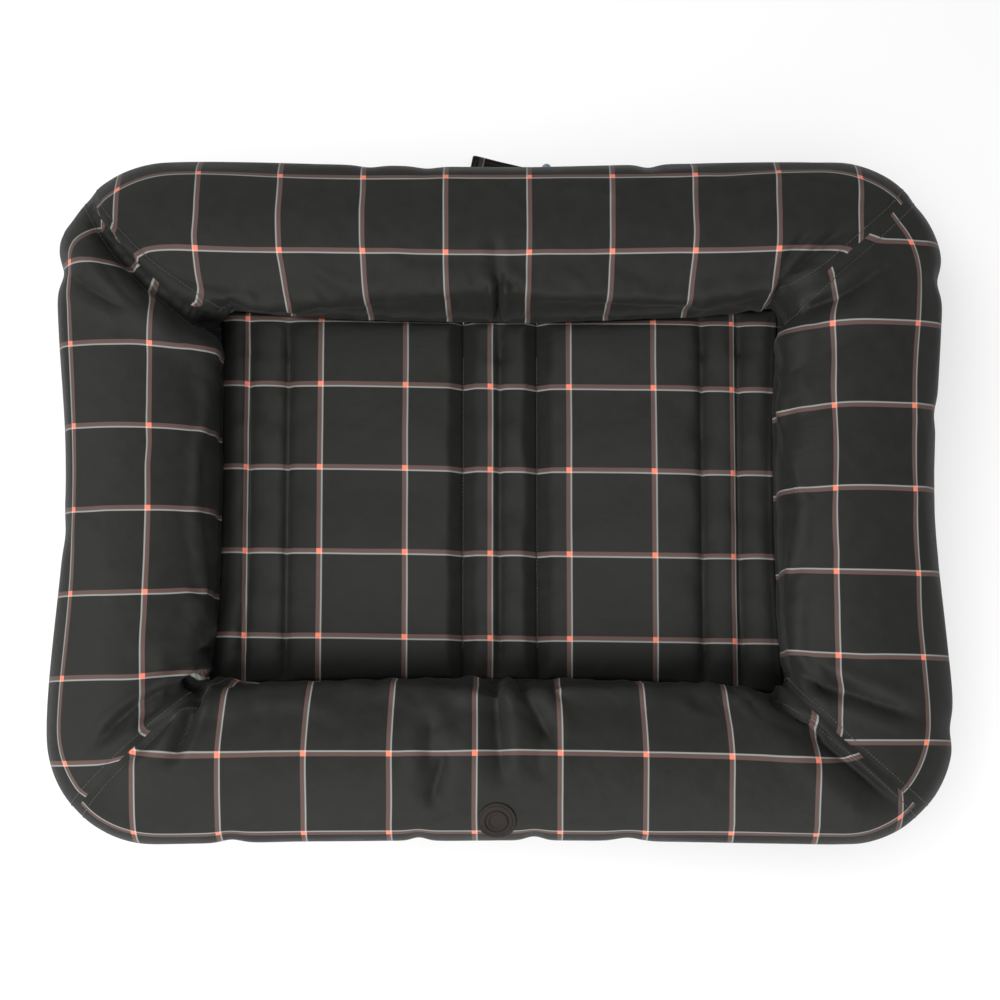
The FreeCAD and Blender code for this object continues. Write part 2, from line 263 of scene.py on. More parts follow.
def noise(tree, vector, scale, detail=2.0, roughness=0.5):
    """A Noise texture's value."""
    node = tree.nodes.new("ShaderNodeTexNoise")
    put(tree, node.inputs["Vector"], vector)
    node.inputs["Scale"].default_value = scale
    node.inputs["Detail"].default_value = detail
    node.inputs["Roughness"].default_value = roughness
    return node.outputs["Fac"]


def bump(tree, height, distance, strength=1.0, under=None):
    """A Bump node's normal."""
    node = tree.nodes.new("ShaderNodeBump")
    put(tree, node.inputs["Height"], height)
    node.inputs["Distance"].default_value = distance
    node.inputs["Strength"].default_value = strength
    if under is not None:
        put(tree, node.inputs["Normal"], under)
    return node.outputs["Normal"]


print("node helpers ready, plaid repeat", PLAID_REPEAT, "m")

# %% The plaid material
def make_plaid(name):
    """Charcoal twill with the windowpane lines, on texture coordinates in metres."""
    material, tree, shader = start_material(name)
    place = tree.nodes.new("ShaderNodeTexCoord").outputs["UV"]
    split = tree.nodes.new("ShaderNodeSeparateXYZ")
    put(tree, split.inputs[0], place)
    wander = calc(tree, "MULTIPLY", calc(tree, "SUBTRACT", noise(tree, place, 9.0), 0.5), 0.0016)
    bands, lines = [], []
    for axis in (0, 1):
        along = calc(tree, "ADD", split.outputs[axis], wander)
        local = calc(tree, "WRAP", along, PLAID_REPEAT / 2, -PLAID_REPEAT / 2)
        bands.append(soft_band(tree, local, -BAND_WIDTH, 0.0))
        lines.append(soft_band(tree, local, 0.0, LINE_WIDTH))
    twill = calc(tree, "SINE", calc(tree, "MULTIPLY",
                 calc(tree, "ADD", split.outputs[0], split.outputs[1]), 2 * math.pi / 0.0019))
    twill = calc(tree, "MULTIPLY_ADD", twill, 0.5, 0.5)
    fine = calc(tree, "SINE", calc(tree, "MULTIPLY",
                calc(tree, "SUBTRACT", split.outputs[0], split.outputs[1]), 2 * math.pi / 0.0009))
    mottle = noise(tree, place, 55.0, 3.0, 0.6)
    ground = lay_over(tree, mottle, srgb(23, 23, 22), srgb(37, 37, 35.5))
    brown = lay_over(tree, twill, srgb(70, 55, 52), srgb(99, 78, 73))
    any_band = calc(tree, "MAXIMUM", bands[0], bands[1])
    any_line = calc(tree, "MAXIMUM", lines[0], lines[1])
    colour = lay_over(tree, any_band, ground, brown)
    colour = lay_over(tree, any_line, colour, lay_over(tree, twill, srgb(118, 121, 118), srgb(146, 148, 143)))
    both = calc(tree, "MULTIPLY", bands[0], bands[1])
    colour = lay_over(tree, both, colour, srgb(230, 124, 98))
    mixed = calc(tree, "ADD", calc(tree, "MULTIPLY", bands[0], lines[1]),
                 calc(tree, "MULTIPLY", lines[0], bands[1]))
    colour = lay_over(tree, mixed, colour, srgb(218, 138, 120))
    colour = lay_over(tree, calc(tree, "MULTIPLY", lines[0], lines[1]), colour, srgb(222, 176, 160))
    put(tree, shader.inputs["Base Color"], colour)
    put(tree, shader.inputs["Roughness"], calc(tree, "MULTIPLY_ADD", mottle, 0.18, 0.46))
    shader.inputs["Specular IOR Level"].default_value = 0.16
    shader.inputs["Sheen Weight"].default_value = 0.03
    shader.inputs["Sheen Roughness"].default_value = 0.5
    weave = calc(tree, "MULTIPLY_ADD", fine, 0.5, calc(tree, "MULTIPLY", mottle, 0.8))
    crumple = bump(tree, noise(tree, place, 22.0, 4.0, 0.55), 0.0034, 0.65)
    put(tree, shader.inputs["Normal"], bump(tree, weave, 0.00016, 0.7, crumple))
    return material


plaid = make_plaid("plaid_twill")
print("plaid nodes", len(plaid.node_tree.nodes))

# %% [markdown]
# ## Thread, base sheet, leather and metal
#
# The other finishes are simpler: sewing thread with its twist, the coated sheet under the bed with its
# fine weave, pressed leather with a pebbled grain, and burnished metal with fine scratches.

# %% Thread and base sheet
def object_place(tree):
    """The place on the piece in metres."""
    return tree.nodes.new("ShaderNodeTexCoord").outputs["Object"]


def make_thread(name, dark, light):
    """Two shades of thread in slanting turns, with a low relief for the twist."""
    material, tree, shader = start_material(name)
    wave = tree.nodes.new("ShaderNodeTexWave")
    put(tree, wave.inputs["Vector"], object_place(tree))
    wave.bands_direction = "DIAGONAL"
    wave.inputs["Scale"].default_value = 900.0
    wave.inputs["Distortion"].default_value = 1.5
    put(tree, shader.inputs["Base Color"], lay_over(tree, wave.outputs["Fac"], dark, light))
    shader.inputs["Roughness"].default_value = 0.5
    shader.inputs["Sheen Weight"].default_value = 0.3
    put(tree, shader.inputs["Normal"], bump(tree, wave.outputs["Fac"], 0.0001))
    return material


def make_base_sheet(name):
    """A coated black weave: crossed fine ribs with a dull film over them and a few paler scuffs."""
    material, tree, shader = start_material(name)
    split = tree.nodes.new("ShaderNodeSeparateXYZ")
    place = object_place(tree)
    put(tree, split.inputs[0], place)
    ribs = [calc(tree, "SINE", calc(tree, "MULTIPLY", split.outputs[a], 2 * math.pi / 0.0016))
            for a in (0, 1)]
    weave = calc(tree, "MULTIPLY_ADD", calc(tree, "MULTIPLY", ribs[0], ribs[1]), 0.5, 0.5)
    scuffs = noise(tree, place, 14.0, 5.0, 0.65)
    tone = lay_over(tree, scuffs, srgb(32, 32, 33), srgb(52, 52, 53))
    put(tree, shader.inputs["Base Color"], lay_over(tree, calc(tree, "MULTIPLY", weave, 0.35), tone,
                                                    srgb(20, 20, 21)))
    put(tree, shader.inputs["Roughness"], calc(tree, "MULTIPLY_ADD", scuffs, 0.25, 0.5))
    drape = bump(tree, noise(tree, place, 11.0, 2.0), 0.004, 0.5)
    put(tree, shader.inputs["Normal"], bump(tree, weave, 0.0002, 0.8, drape))
    return material


print("thread and base sheet are written")

# %% Leather and metal
def make_leather(name):
    """Dark brown leather: cell-like grain from a Voronoi pattern, darker in its creases."""
    material, tree, shader = start_material(name)
    place = object_place(tree)
    cells = tree.nodes.new("ShaderNodeTexVoronoi")
    cells.feature = "DISTANCE_TO_EDGE"
    put(tree, cells.inputs["Vector"], place)
    cells.inputs["Scale"].default_value = 1100.0
    grain = calc(tree, "MINIMUM", calc(tree, "MULTIPLY", cells.outputs["Distance"], 4.0), 1.0)
    stain = noise(tree, place, 120.0, 3.0)
    hide = lay_over(tree, stain, srgb(29, 20, 18), srgb(44, 32, 29))
    put(tree, shader.inputs["Base Color"], lay_over(tree, grain, srgb(20, 14, 13), hide))
    put(tree, shader.inputs["Roughness"], calc(tree, "MULTIPLY_ADD", stain, 0.2, 0.5))
    shader.inputs["Specular IOR Level"].default_value = 0.25
    put(tree, shader.inputs["Normal"], bump(tree, grain, 0.00012, 0.8))
    return material


def make_burnished(name):
    """Blue-grey metal with fine scratches and patches of deeper tarnish."""
    material, tree, shader = start_material(name)
    place = object_place(tree)
    tarnish = noise(tree, place, 260.0, 4.0, 0.6)
    scratch = noise(tree, place, 2600.0, 2.0, 0.7)
    put(tree, shader.inputs["Base Color"], lay_over(tree, tarnish, srgb(88, 100, 122), srgb(150, 163, 186)))
    shader.inputs["Metallic"].default_value = 1.0
    put(tree, shader.inputs["Roughness"], calc(tree, "MULTIPLY_ADD", tarnish, 0.25, 0.24))
    put(tree, shader.inputs["Normal"], bump(tree, scratch, 0.00003, 0.5))
    return material


print("leather and metal are written")

# %% Make the finishes, and dress the base panels
thread = make_thread("charcoal_thread", srgb(20, 20, 20), srgb(52, 52, 51))
base_sheet = make_base_sheet("coated_base_sheet")
leather = make_leather("pressed_leather")
metal = make_burnished("burnished_metal")
for node_name, node in nodes.items():
    if node_name.startswith("base_panel"):
        node.data.materials.clear()
        node.data.materials.append(base_sheet)
print("finishes", [m.name for m in (plaid, thread, base_sheet, leather, metal)])

# %% [markdown]
# ## The bolster ring as one surface
#
# On the real bed the four bolsters are one ring of cloth, made of four panels that meet in mitred seams.
# They could be four stretched pillows, but the mitres would not match. So the ring is one surface of two
# numbers: how far round the ring, and how far round the roll's section. The section climbs from the
# inner seam, over the crest and down to the base seam, and then runs back flat under the filling.
# Each panel also keeps the cloth's own coordinates, so that the plaid runs straight along it.

# %% The lines that the ring is hung on
BULGE, WIDEST_Z, SEAM_Z = 0.006, 0.050, 0.012
OUT_TUCK, OUTLINE_RADIUS = 0.030, 0.097
UNDER_STOPS = 0.004        # the flat underside stops this far short of the inner seam
INNER = np.array([HOLLOW_X - BULGE, HOLLOW_Y - BULGE])
TURN = np.array([HALF_LONG, HALF_WIDE]) - OUTLINE_RADIUS
MITRE = TURN + OUTLINE_RADIUS * np.array([0.705, 0.709])
# how far each side of the outline sinks in at its middle
SINK = {"front": 0.003, "back": 0.0058, "left": 0.0115, "right": 0.0115}
BACK_STUFFED = 0.0036      # the back bolster is stuffed a little further out than the others
PANELS = {  # direction along, direction outwards, and which of x and y it runs along
    "front": ((1, 0), (0, -1), 0), "right": ((0, 1), (1, 0), 1),
    "back": ((-1, 0), (0, 1), 0), "left": ((0, -1), (-1, 0), 1)}
# how far each inner seam sags towards the hollow's middle: at its start, its middle and its end
SAG = {"front": (0.008, 0.0115, -0.003), "right": (-0.004, 0.0030, -0.003),
       "back": (-0.011, 0.001, -0.010), "left": (-0.003, -0.001, -0.012)}
ROWS_FOLLOW = 0.45         # the share of that sag which the rows of plaid follow


def inner_sag(name, along):
    """How far the inner seam comes in at a place along the panel: a parabola through its three values."""
    start, middle, end = SAG[name]
    s = np.clip(along / INNER[PANELS[name][2]], -1.2, 1.2)
    return middle * (1 - s * s) + s * s * (start * (1 - s) + end * (1 + s)) / 2


def outline_reach(name, along):
    """How far out the bed's outline is: a straight side that sinks in at its middle as a squared cosine,
    then a quarter circle."""
    run = PANELS[name][2]
    straight, side = TURN[run], (HALF_LONG, HALF_WIDE)[1 - run] + BACK_STUFFED * (name == "back")
    past = np.clip(np.abs(along) - straight, 0, OUTLINE_RADIUS)
    sunk = SINK[name] * np.cos(np.clip(along / straight, -1, 1) * math.pi / 2) ** 2
    return side - sunk - OUTLINE_RADIUS + np.sqrt(OUTLINE_RADIUS ** 2 - past ** 2)


def stations(name):
    """The middle of each spoke along a panel. The long panels have spokes exactly on the fold lines."""
    run = PANELS[name][2]
    end = (INNER[run] + MITRE[run]) / 2
    if run == 0:
        side = np.linspace(FOLD, end, 53)
        return np.concatenate([-side[::-1], np.linspace(-FOLD, FOLD, 13)[1:-1], side])
    return np.linspace(-end, end, 83)


print("turned corners start at", TURN, "inner corners at", INNER)

# %% [markdown]
# ## One section of the roll
#
# Cut across, a bolster is a stuffed tube that lies on the floor: round on top, tucked in at the outline,
# and flat below. A circle would look blown up and would stand off the floor. So the section is a quarter
# ellipse, half an ellipse, another quarter and a straight run, end to end, with the same number of rows
# at every place round the ring.

# %% The section of the roll
ROWS_INNER, ROWS_TOP, ROWS_OUTER, ROWS_UNDER = 8, 40, 11, 11
inner_turn = np.linspace(0, math.pi / 2, ROWS_INNER, endpoint=False)
top_turn = np.linspace(0, math.pi, ROWS_TOP, endpoint=False)
outer_turn = np.linspace(0, math.pi / 2, ROWS_OUTER, endpoint=False)
under_run = np.linspace(0, 1, ROWS_UNDER, endpoint=False)
ROWS = ROWS_INNER + ROWS_TOP + ROWS_OUTER + ROWS_UNDER
BASE_Z = FLOOR_Z + 0.0004
CROWN_POWER = 0.93         # under 1 the crown is a little squarer than an ellipse


def section(reach, lean):
    """Distance out along the spoke, and height, at each row. reach is the spoke's length from the inner
    bulge to the outline, and lean how much longer it is than square across the panel: a quarter ellipse
    under the inner bulge, half an ellipse over the top with its sine raised to CROWN_POWER, a quarter
    ellipse to the base seam, then flat."""
    inner_tuck, outer_tuck = BULGE * lean, OUT_TUCK * np.ones_like(lean)
    tall = TOP - WIDEST_Z
    out = np.concatenate([
        inner_tuck[:, None] * (1 - np.sin(inner_turn)),
        reach[:, None] / 2 * (1 - np.cos(top_turn)),
        reach[:, None] - outer_tuck[:, None] * (1 - np.cos(outer_turn)),
        (reach - outer_tuck)[:, None] * (1 - under_run)
        + (inner_tuck + UNDER_STOPS)[:, None] * under_run], axis=1)
    up = np.concatenate([
        WIDEST_Z - (WIDEST_Z - SEAM_Z) * np.cos(inner_turn),
        WIDEST_Z + tall * np.sin(top_turn) ** CROWN_POWER,
        WIDEST_Z - (WIDEST_Z - BASE_Z) * np.sin(outer_turn),
        np.full(ROWS_UNDER, BASE_Z)])
    return out, np.broadcast_to(up, out.shape).copy()


print("rows of the section", ROWS)

# %% [markdown]
# ## Where the plaid lies on a panel
#
# A bolster is sewn from flat cloth, so the plaid runs straight along it, and bends only where the cloth
# does. Unwrapping the finished mesh would lose that. So each grid point gets its own place in the flat
# cloth, in metres: how far along the panel it is, and how far over the roll, measured as an arc.

# %% Cloth coordinates
# where the first plaid line lies along each panel, which side its band is on, and the same across it
PLAID_ALONG = {"front": (-0.0206, 1), "back": (0.0249, -1), "left": (-0.014, -1), "right": (0.0066, 1)}
PLAID_ACROSS = {"front": (-0.0046, -1), "back": (-0.0215, -1), "left": (-0.014, 1), "right": (-0.027, 1)}
ALONG_GATHER, LEAN_IN = 76.0 / 74.0, 0.035
# the shares of the roll over which the rows stop following the inner line and follow the outline
ROWS_TURN_FROM, ROWS_TURN_OVER = 0.35, 0.60
# deep in the hollow the cloth is gathered, and under the filling a length of it is laid out
DEEP_ACROSS, DEEP_SHRINK, UNDER_CLOTH = -0.060, 0.35, 0.15


def cloth_coordinates(name, place, fraction, reach_mid, outward, to_outline):
    """Along: the place along the panel, a little longer for the gathers, and leaning in at the inner
    seam. Across: the arc from the crest, measured from the inner line at first and from the outline
    near the outer edge, so that the rows stay straight and then follow the turned corner."""
    half, tall = reach_mid / 2, TOP - WIDEST_Z
    dense = np.linspace(0, math.pi, 400)
    step = np.hypot(np.diff(half * np.cos(dense)), np.diff(tall * np.sin(dense) ** CROWN_POWER))
    arc = np.concatenate([[0], np.cumsum(step)])
    share = smooth((fraction - ROWS_TURN_FROM) / ROWS_TURN_OVER)
    width = np.clip((1 - share) * outward + share * (reach_mid - to_outline), 0, reach_mid)
    across = np.interp(np.arccos(np.clip(1 - width / half, -1, 1)), dense, arc) - arc[-1] / 2
    inner_arc = math.pi / 2 * math.sqrt((BULGE ** 2 + (WIDEST_Z - SEAM_Z) ** 2) / 2)
    outer_arc = math.pi / 2 * math.sqrt((OUT_TUCK ** 2 + (WIDEST_Z - BASE_Z) ** 2) / 2)
    across[:, :ROWS_INNER] = -arc[-1] / 2 - inner_arc * (1 - inner_turn / (math.pi / 2))
    under = slice(ROWS_INNER + ROWS_TOP, ROWS_INNER + ROWS_TOP + ROWS_OUTER)
    across[:, under] = arc[-1] / 2 + outer_arc * outer_turn / (math.pi / 2)
    across[:, -ROWS_UNDER:] = arc[-1] / 2 + outer_arc + UNDER_CLOTH * under_run
    toward_inner = np.clip(1 - 2 * fraction, 0, 1) ** 1.5
    across = np.where(across < DEEP_ACROSS, DEEP_ACROSS + (across - DEEP_ACROSS) * DEEP_SHRINK, across)
    start, sign = PLAID_ALONG[name]
    u = sign * (place * ALONG_GATHER * (1 + LEAN_IN * toward_inner) - start * ALONG_GATHER)
    start, sign = PLAID_ACROSS[name]
    return u, sign * (across - start)


print("cloth gathered along by", ALONG_GATHER)

# %% [markdown]
# ## Four panels in one ring
#
# Each panel is a fan of spokes from the inner seam to the outline, square across the bolster in its
# middle and swinging to the mitre at its ends. Two neighbours share the spoke on the mitre, so the four
# join into one closed grid with no gap to hide.

# %% Put the four panels together
ring_points, panel_uv, panel_start = [], {}, {}
station_total = 0
for name, (along_axis, out_axis, run) in PANELS.items():
    middle = stations(name)
    end_in, end_out = INNER[run], MITRE[run]
    tilt = (end_out - end_in) * smooth((np.abs(middle) - 0.4 * end_in) / (middle[-1] - 0.4 * end_in))
    inner_l = middle - np.sign(middle) * tilt / 2
    outer_l = middle + np.sign(middle) * tilt / 2
    sag = inner_sag(name, inner_l)
    inner_w = INNER[1 - run] - sag
    outer_w = outline_reach(name, outer_l)
    spoke = np.stack([outer_l - inner_l, outer_w - inner_w], axis=1)
    reach = np.linalg.norm(spoke, axis=1)
    spoke /= reach[:, None]
    out, up = section(reach, 1 / spoke[:, 1])
    local_l = inner_l[:, None] + out * spoke[:, :1]
    local_w = inner_w[:, None] + out * spoke[:, 1:]
    flat = local_l[..., None] * np.array(along_axis) + local_w[..., None] * np.array(out_axis)
    points = np.concatenate([flat, up[..., None]], axis=-1)
    mid_sag = SAG[name][1]
    row_line = INNER[1 - run] - mid_sag + ROWS_FOLLOW * (mid_sag - sag)
    reach_mid = float(outline_reach(name, np.zeros(1))[0] - INNER[1 - run] + mid_sag + SINK[name] * 0.5)
    place = flat[..., run]
    panel_uv[name] = np.stack(cloth_coordinates(
        name, place, out / reach[:, None], reach_mid, local_w - row_line[:, None], reach[:, None] - out),
        axis=-1)
    panel_start[name] = station_total
    ring_points.append(points[:-1])
    station_total += len(middle) - 1
ring = np.concatenate(ring_points)
STATIONS = station_total
faces = grid_quads(STATIONS, ROWS, wrap_rows=True, wrap_columns=True)
print("ring grid", ring.shape)

# %% [markdown]
# ## Mitres in the rest shape
#
# A stuffed panel rises between its seams and dips at them. The dips at the four mitres are part of the
# shape that the cloth simulation starts from. Each mitre is first bowed a little to one side, and the
# cloth coordinates are moved with it, so that the plaid stays where it was. Then it is pressed in: the
# distance from the mitre is turned into a depth with a falling exponential, so the bottom stays sharp.

# %% Measures round the ring
MITRES = {"front_left": panel_start["front"], "front_right": panel_start["right"],
          "back_right": panel_start["back"], "back_left": panel_start["left"]}
row_number = np.arange(ROWS)
top_share = np.clip((row_number - ROWS_INNER) / ROWS_TOP, 0, 1)       # 0 inner bulge, 1 outline
station_gap = np.linalg.norm(np.roll(ring, -1, axis=0) - ring, axis=-1)
station_at = np.concatenate([[0], np.cumsum(station_gap[:, ROWS_INNER + ROWS_TOP // 2])])
RING_LENGTH = station_at[-1]


def from_station(index):
    """Signed distance along the crest from one station to every station, in metres."""
    gap = station_at[:-1] - station_at[index]
    return (gap + RING_LENGTH / 2) % RING_LENGTH - RING_LENGTH / 2


def grid_normals(points):
    """Unit normals of the closed grid, from the cross product of its two directions."""
    round_ring = np.roll(points, -1, axis=0) - np.roll(points, 1, axis=0)
    round_roll = np.roll(points, -1, axis=1) - np.roll(points, 1, axis=1)
    return unit(np.cross(round_ring, round_roll))


print("round the crest", RING_LENGTH, "m")

# %% Bow the mitres
# how far the middle of each mitre is bowed, in x and y
MITRE_BOW = {"front_left": (-0.006, -0.004), "front_right": (-0.002, -0.003),
             "back_right": (0.004, -0.007), "back_left": (-0.007, -0.018)}
BOW_WIDTH = 0.05
bow = np.zeros((STATIONS, ROWS, 2))
for corner, index in MITRES.items():
    near_mitre = np.exp(-(from_station(index) / BOW_WIDTH) ** 2)[:, None] * np.sin(top_share * math.pi)
    bow += near_mitre[..., None] * np.array(MITRE_BOW[corner])
ring[..., :2] += bow
for name, (_, out_axis, run) in PANELS.items():
    moved_by = bow[(panel_start[name] + np.arange(len(panel_uv[name]))) % STATIONS]
    panel_uv[name][..., 0] += PLAID_ALONG[name][1] * ALONG_GATHER * moved_by[..., run]
    panel_uv[name][..., 1] += PLAID_ACROSS[name][1] * (moved_by @ np.array(out_axis))
print("mitres bowed by at most", np.abs(bow).max())


# %% Press in the mitres
def outward_normals(points):
    """The grid's normals, turned so that the crest's point up."""
    normals = grid_normals(points)
    return np.sign(normals[:, ROWS_INNER + ROWS_TOP // 2, 2].mean()) * normals


MITRE_DEPTH = {"front_left": 0.004, "front_right": 0.0035, "back_right": 0.004, "back_left": 0.006}
MITRE_SHARP, CORNER_DIP, CORNER_WIDE = 0.007, 0.004, 0.045   # a sharp groove in a wide shallow dip
press = np.zeros((STATIONS, ROWS))
for corner, index in MITRES.items():
    gap = np.abs(from_station(index))[:, None]
    shape = np.sin(np.clip(top_share * 0.86 + 0.14, 0, 1) * math.pi) ** 0.6
    press += MITRE_DEPTH[corner] * shape * (1.5 - top_share) * np.exp(-gap / MITRE_SHARP)
    press += CORNER_DIP * shape * np.exp(-(gap / CORNER_WIDE) ** 2)
shown = (row_number < ROWS - ROWS_UNDER)[None, :]
start_shape = ring - outward_normals(ring) * (press * shown)[..., None]
print("deepest press", press.max())

# %% [markdown]
# ## Blowing the ring up as cloth
#
# Blender's Cloth does what the stuffing does: pressure pushes the skin out while its seams hold it. The
# seams are pinned, the cloth is given a little more length than its seams have, and the extra length
# gathers into folds beside them. Gravity is off. Afterwards a share of each point's move is kept, with a
# cap so that no fold runs away, and less of it towards the outline, which has to stay where it is. The
# result is read back as points, and no modifier is left.

# %% Simulate
def blow_up(points, quads, pinned, frames, pressure, excess, bend):
    """The points of a cloth after that many frames under pressure. pinned is 1 where a seam holds."""
    cloth = new_piece("cloth_form", points, quads, None)
    group = cloth.vertex_groups.new(name="seams")
    for weight in np.unique(pinned[pinned > 0]):
        group.add(np.flatnonzero(pinned == weight).tolist(), float(weight), "REPLACE")
    modifier = cloth.modifiers.new("cloth", "CLOTH")
    settings = modifier.settings
    settings.quality, settings.mass, settings.air_damping = 5, 0.25, 2.0
    settings.tension_stiffness = settings.compression_stiffness = 18
    settings.shear_stiffness, settings.bending_stiffness = 8, bend
    settings.use_pressure, settings.uniform_pressure_force = True, pressure
    settings.shrink_min = -excess
    settings.vertex_group_mass = "seams"
    settings.effector_weights.gravity = 0.0
    modifier.collision_settings.use_collision = False
    modifier.point_cache.frame_start, modifier.point_cache.frame_end = 1, frames
    for number in range(1, frames + 1):
        bpy.context.scene.frame_set(number)
    shaped = cloth.evaluated_get(bpy.context.evaluated_depsgraph_get()).to_mesh()
    result = mesh_points(shaped)
    bpy.data.objects.remove(cloth)
    bpy.context.scene.frame_set(1)
    return result


CAP, KEPT = 0.010, 0.65
MITRE_HOLD = 0.6
OUTER_FROM, OUTER_OVER, OUTER_LOSS = 0.60, 0.30, 0.75
pins = np.zeros((STATIONS, ROWS))
pins[:, -ROWS_UNDER:] = 1.0
pins[:, 0] = 1.0
for index in MITRES.values():
    pins[index, :ROWS_INNER + ROWS_TOP // 3] = MITRE_HOLD
form = start_shape.copy()
moved = blow_up(start_shape, faces, pins.ravel(), frames=20, pressure=3.0, excess=0.018, bend=0.7)
shift = moved.reshape(form.shape) - start_shape
length = np.linalg.norm(shift, axis=-1, keepdims=True)
shift *= 1 - OUTER_LOSS * smooth((top_share - OUTER_FROM) / OUTER_OVER)[None, :, None]
form = start_shape + shift * KEPT * np.minimum(1, CAP / np.maximum(length, 1e-9))
print("cloth moved", length.mean(), length.max())
print("form", form.shape)

# %% [markdown]
# ## Which cell belongs to which bolster
#
# The ring is cut later, where the real cloth is parted: at the mitres, and on the long sides at the two
# fold lines. Each cell of the grid is given its segment now and carries it as a material number, which
# the finer mesh inherits. Its four corners get their cloth coordinates one by one, because on a mitre two
# panels meet with different cloth.

# %% Segments and cloth coordinates of the cells
face_station = np.repeat(np.arange(STATIONS), ROWS)
face_row = np.tile(np.arange(ROWS), STATIONS)
uv = np.zeros((len(faces), 4, 2))
segment_of_station = np.zeros(STATIONS, int)
segment_names = []
for name in PANELS:
    run = PANELS[name][2]
    first = panel_start[name]
    count = len(panel_uv[name]) - 1
    own = np.flatnonzero((face_station >= first) & (face_station < first + count))
    k = face_station[own] - first
    r = face_row[own]
    r2 = (r + 1) % ROWS
    grid_uv = panel_uv[name]
    uv[own] = np.stack([grid_uv[k, r], grid_uv[k + 1, r], grid_uv[k + 1, r2], grid_uv[k, r2]], axis=1)
    middle = stations(name)
    centre = (middle[:-1] + middle[1:]) / 2
    if run == 0:
        x = centre * PANELS[name][0][0]
        for part, mask in (("left", x < -FOLD), ("centre", np.abs(x) < FOLD), ("right", x > FOLD)):
            segment_names.append(f"{name}_{part}")
            segment_of_station[first + np.flatnonzero(mask)] = len(segment_names) - 1
    else:
        segment_names.append(f"{name}_side")
        segment_of_station[first:first + count] = len(segment_names) - 1
last_row = face_row == ROWS - 1
uv[last_row, 2:, 1] = uv[last_row, 1:2, 1]
print("segments", segment_names)

# %% [markdown]
# ## A finer ring
#
# One round of Subdivision Surface makes the ring smooth enough for its folds. Catmull-Clark keeps the
# coarse points first in the list, which the seams and the stitches use later to find their rows.


# %% Make the finer ring
def outward(points, quads):
    """True if the closed mesh's faces turn outwards, by the sign of its volume."""
    p = points.reshape(-1, 3)
    a, b, c, d = (p[quads[:, i]] for i in range(4))
    return (np.einsum("ij,ij->i", a, np.cross(b, c)) + np.einsum("ij,ij->i", a, np.cross(c, d))).sum() > 0


if not outward(form, faces):
    faces, uv = faces[:, ::-1], uv[:, ::-1]
ring_piece = new_piece("ring_form", form, faces, plaid, uv)
for _ in segment_names[1:]:
    ring_piece.data.materials.append(plaid)
ring_piece.data.polygons.foreach_set("material_index", segment_of_station[face_station].astype(np.int32))
finer = ring_piece.modifiers.new("finer", "SUBSURF")
finer.levels = finer.render_levels = 1
fine_mesh = bpy.data.meshes.new_from_object(ring_piece.evaluated_get(bpy.context.evaluated_depsgraph_get()))
fine_points = mesh_points(fine_mesh)
print("fine ring", len(fine_points), "points; coarse points kept to",
      np.abs(fine_points[:STATIONS * ROWS] - form.reshape(-1, 3)).max())

# %% [markdown]
# ## Folds that the stuffing has pressed in
#
# Beside its seams the real cloth has a few lasting folds: a deep one under the overhanging mitre, drag
# folds fanning out of the hollow's corners, and the crease where the bed is always folded. They could
# be left to the simulation, but it puts folds where it likes. So each is a line on the ring, drawn as a
# start, a heading, a length and a bend. Points near the line sink, steeply on one side and gently on
# the other, and a low swelling runs beside it. The folds under the mitres run along the seam itself, and
# being steep on one side only they make the other bolster hang over them. Two smaller things are laid on
# in the same way: notches in the outline, and a fine ripple beside the inner seams for their gathers.

# %% Folds and notches
FOLD_MARGIN, FOLD_LOWEST = 0.04, 0.02            # points further off or lower down aren't touched
SWELL_SHARE, SWELL_AT, SWELL_WIDTH = 0.30, 2.4, 1.3      # the swelling, in widths of the fold


def fold_line(start, heading, length, bend, count=60):
    """Points along a line that starts at a heading in degrees and turns evenly by bend in all."""
    share = np.linspace(0, 1, count)
    angle = np.radians(heading + bend * share)
    step = length / (count - 1)
    x = start[0] + np.concatenate([[0], np.cumsum(np.cos(angle[:-1]) * step)])
    y = start[1] + np.concatenate([[0], np.cumsum(np.sin(angle[:-1]) * step)])
    return np.stack([x, y], axis=1), angle, share


def seam_line(corner, offset, first, last, count=60):
    """Points along a mitre from one share of the way over the roll to another, moved to its left."""
    rows = ROWS_INNER + np.linspace(first, last, count) * ROWS_TOP
    seam = fine_points[:STATIONS * ROWS].reshape(STATIONS, ROWS, 3)[MITRES[corner]]
    line = np.stack([np.interp(rows, row_number, seam[:, i]) for i in (0, 1)], axis=1)
    step = np.gradient(line, axis=0)
    angle = np.arctan2(step[:, 1], step[:, 0])
    line = line + offset * np.stack([-np.sin(angle), np.cos(angle)], axis=1)
    return line, angle, np.linspace(0, 1, count)


def fold_depth(points, route, depth, left, right, fade=0.35):
    """How far each point sinks: depth at the line, falling exponentially over left and right metres on
    the line's two sides, fading out at its far end, less a low swelling a little further out."""
    line, angle, share = route
    length = np.linalg.norm(line[-1] - line[0])
    sunk = np.zeros(len(points))
    close = np.flatnonzero((np.abs(points[:, :2] - line.mean(axis=0)).max(axis=1) < length + FOLD_MARGIN)
                           & (points[:, 2] > FOLD_LOWEST))
    gap = points[close, None, :2] - line[None]
    distance = np.linalg.norm(gap, axis=-1)
    nearest = distance.argmin(axis=1)
    picked = gap[np.arange(len(close)), nearest]
    on_left = (np.cos(angle[nearest]) * picked[:, 1] - np.sin(angle[nearest]) * picked[:, 0]) > 0
    width = np.where(on_left, left, right)
    reach = distance.min(axis=1) / width
    strength = smooth((1 - share[nearest]) / fade) * smooth(share[nearest] / 0.08 + 0.5)
    swelling = SWELL_SHARE * np.exp(-((reach - SWELL_AT) / SWELL_WIDTH) ** 2)
    sunk[close] = depth * strength * (np.exp(-reach) - swelling)
    return sunk


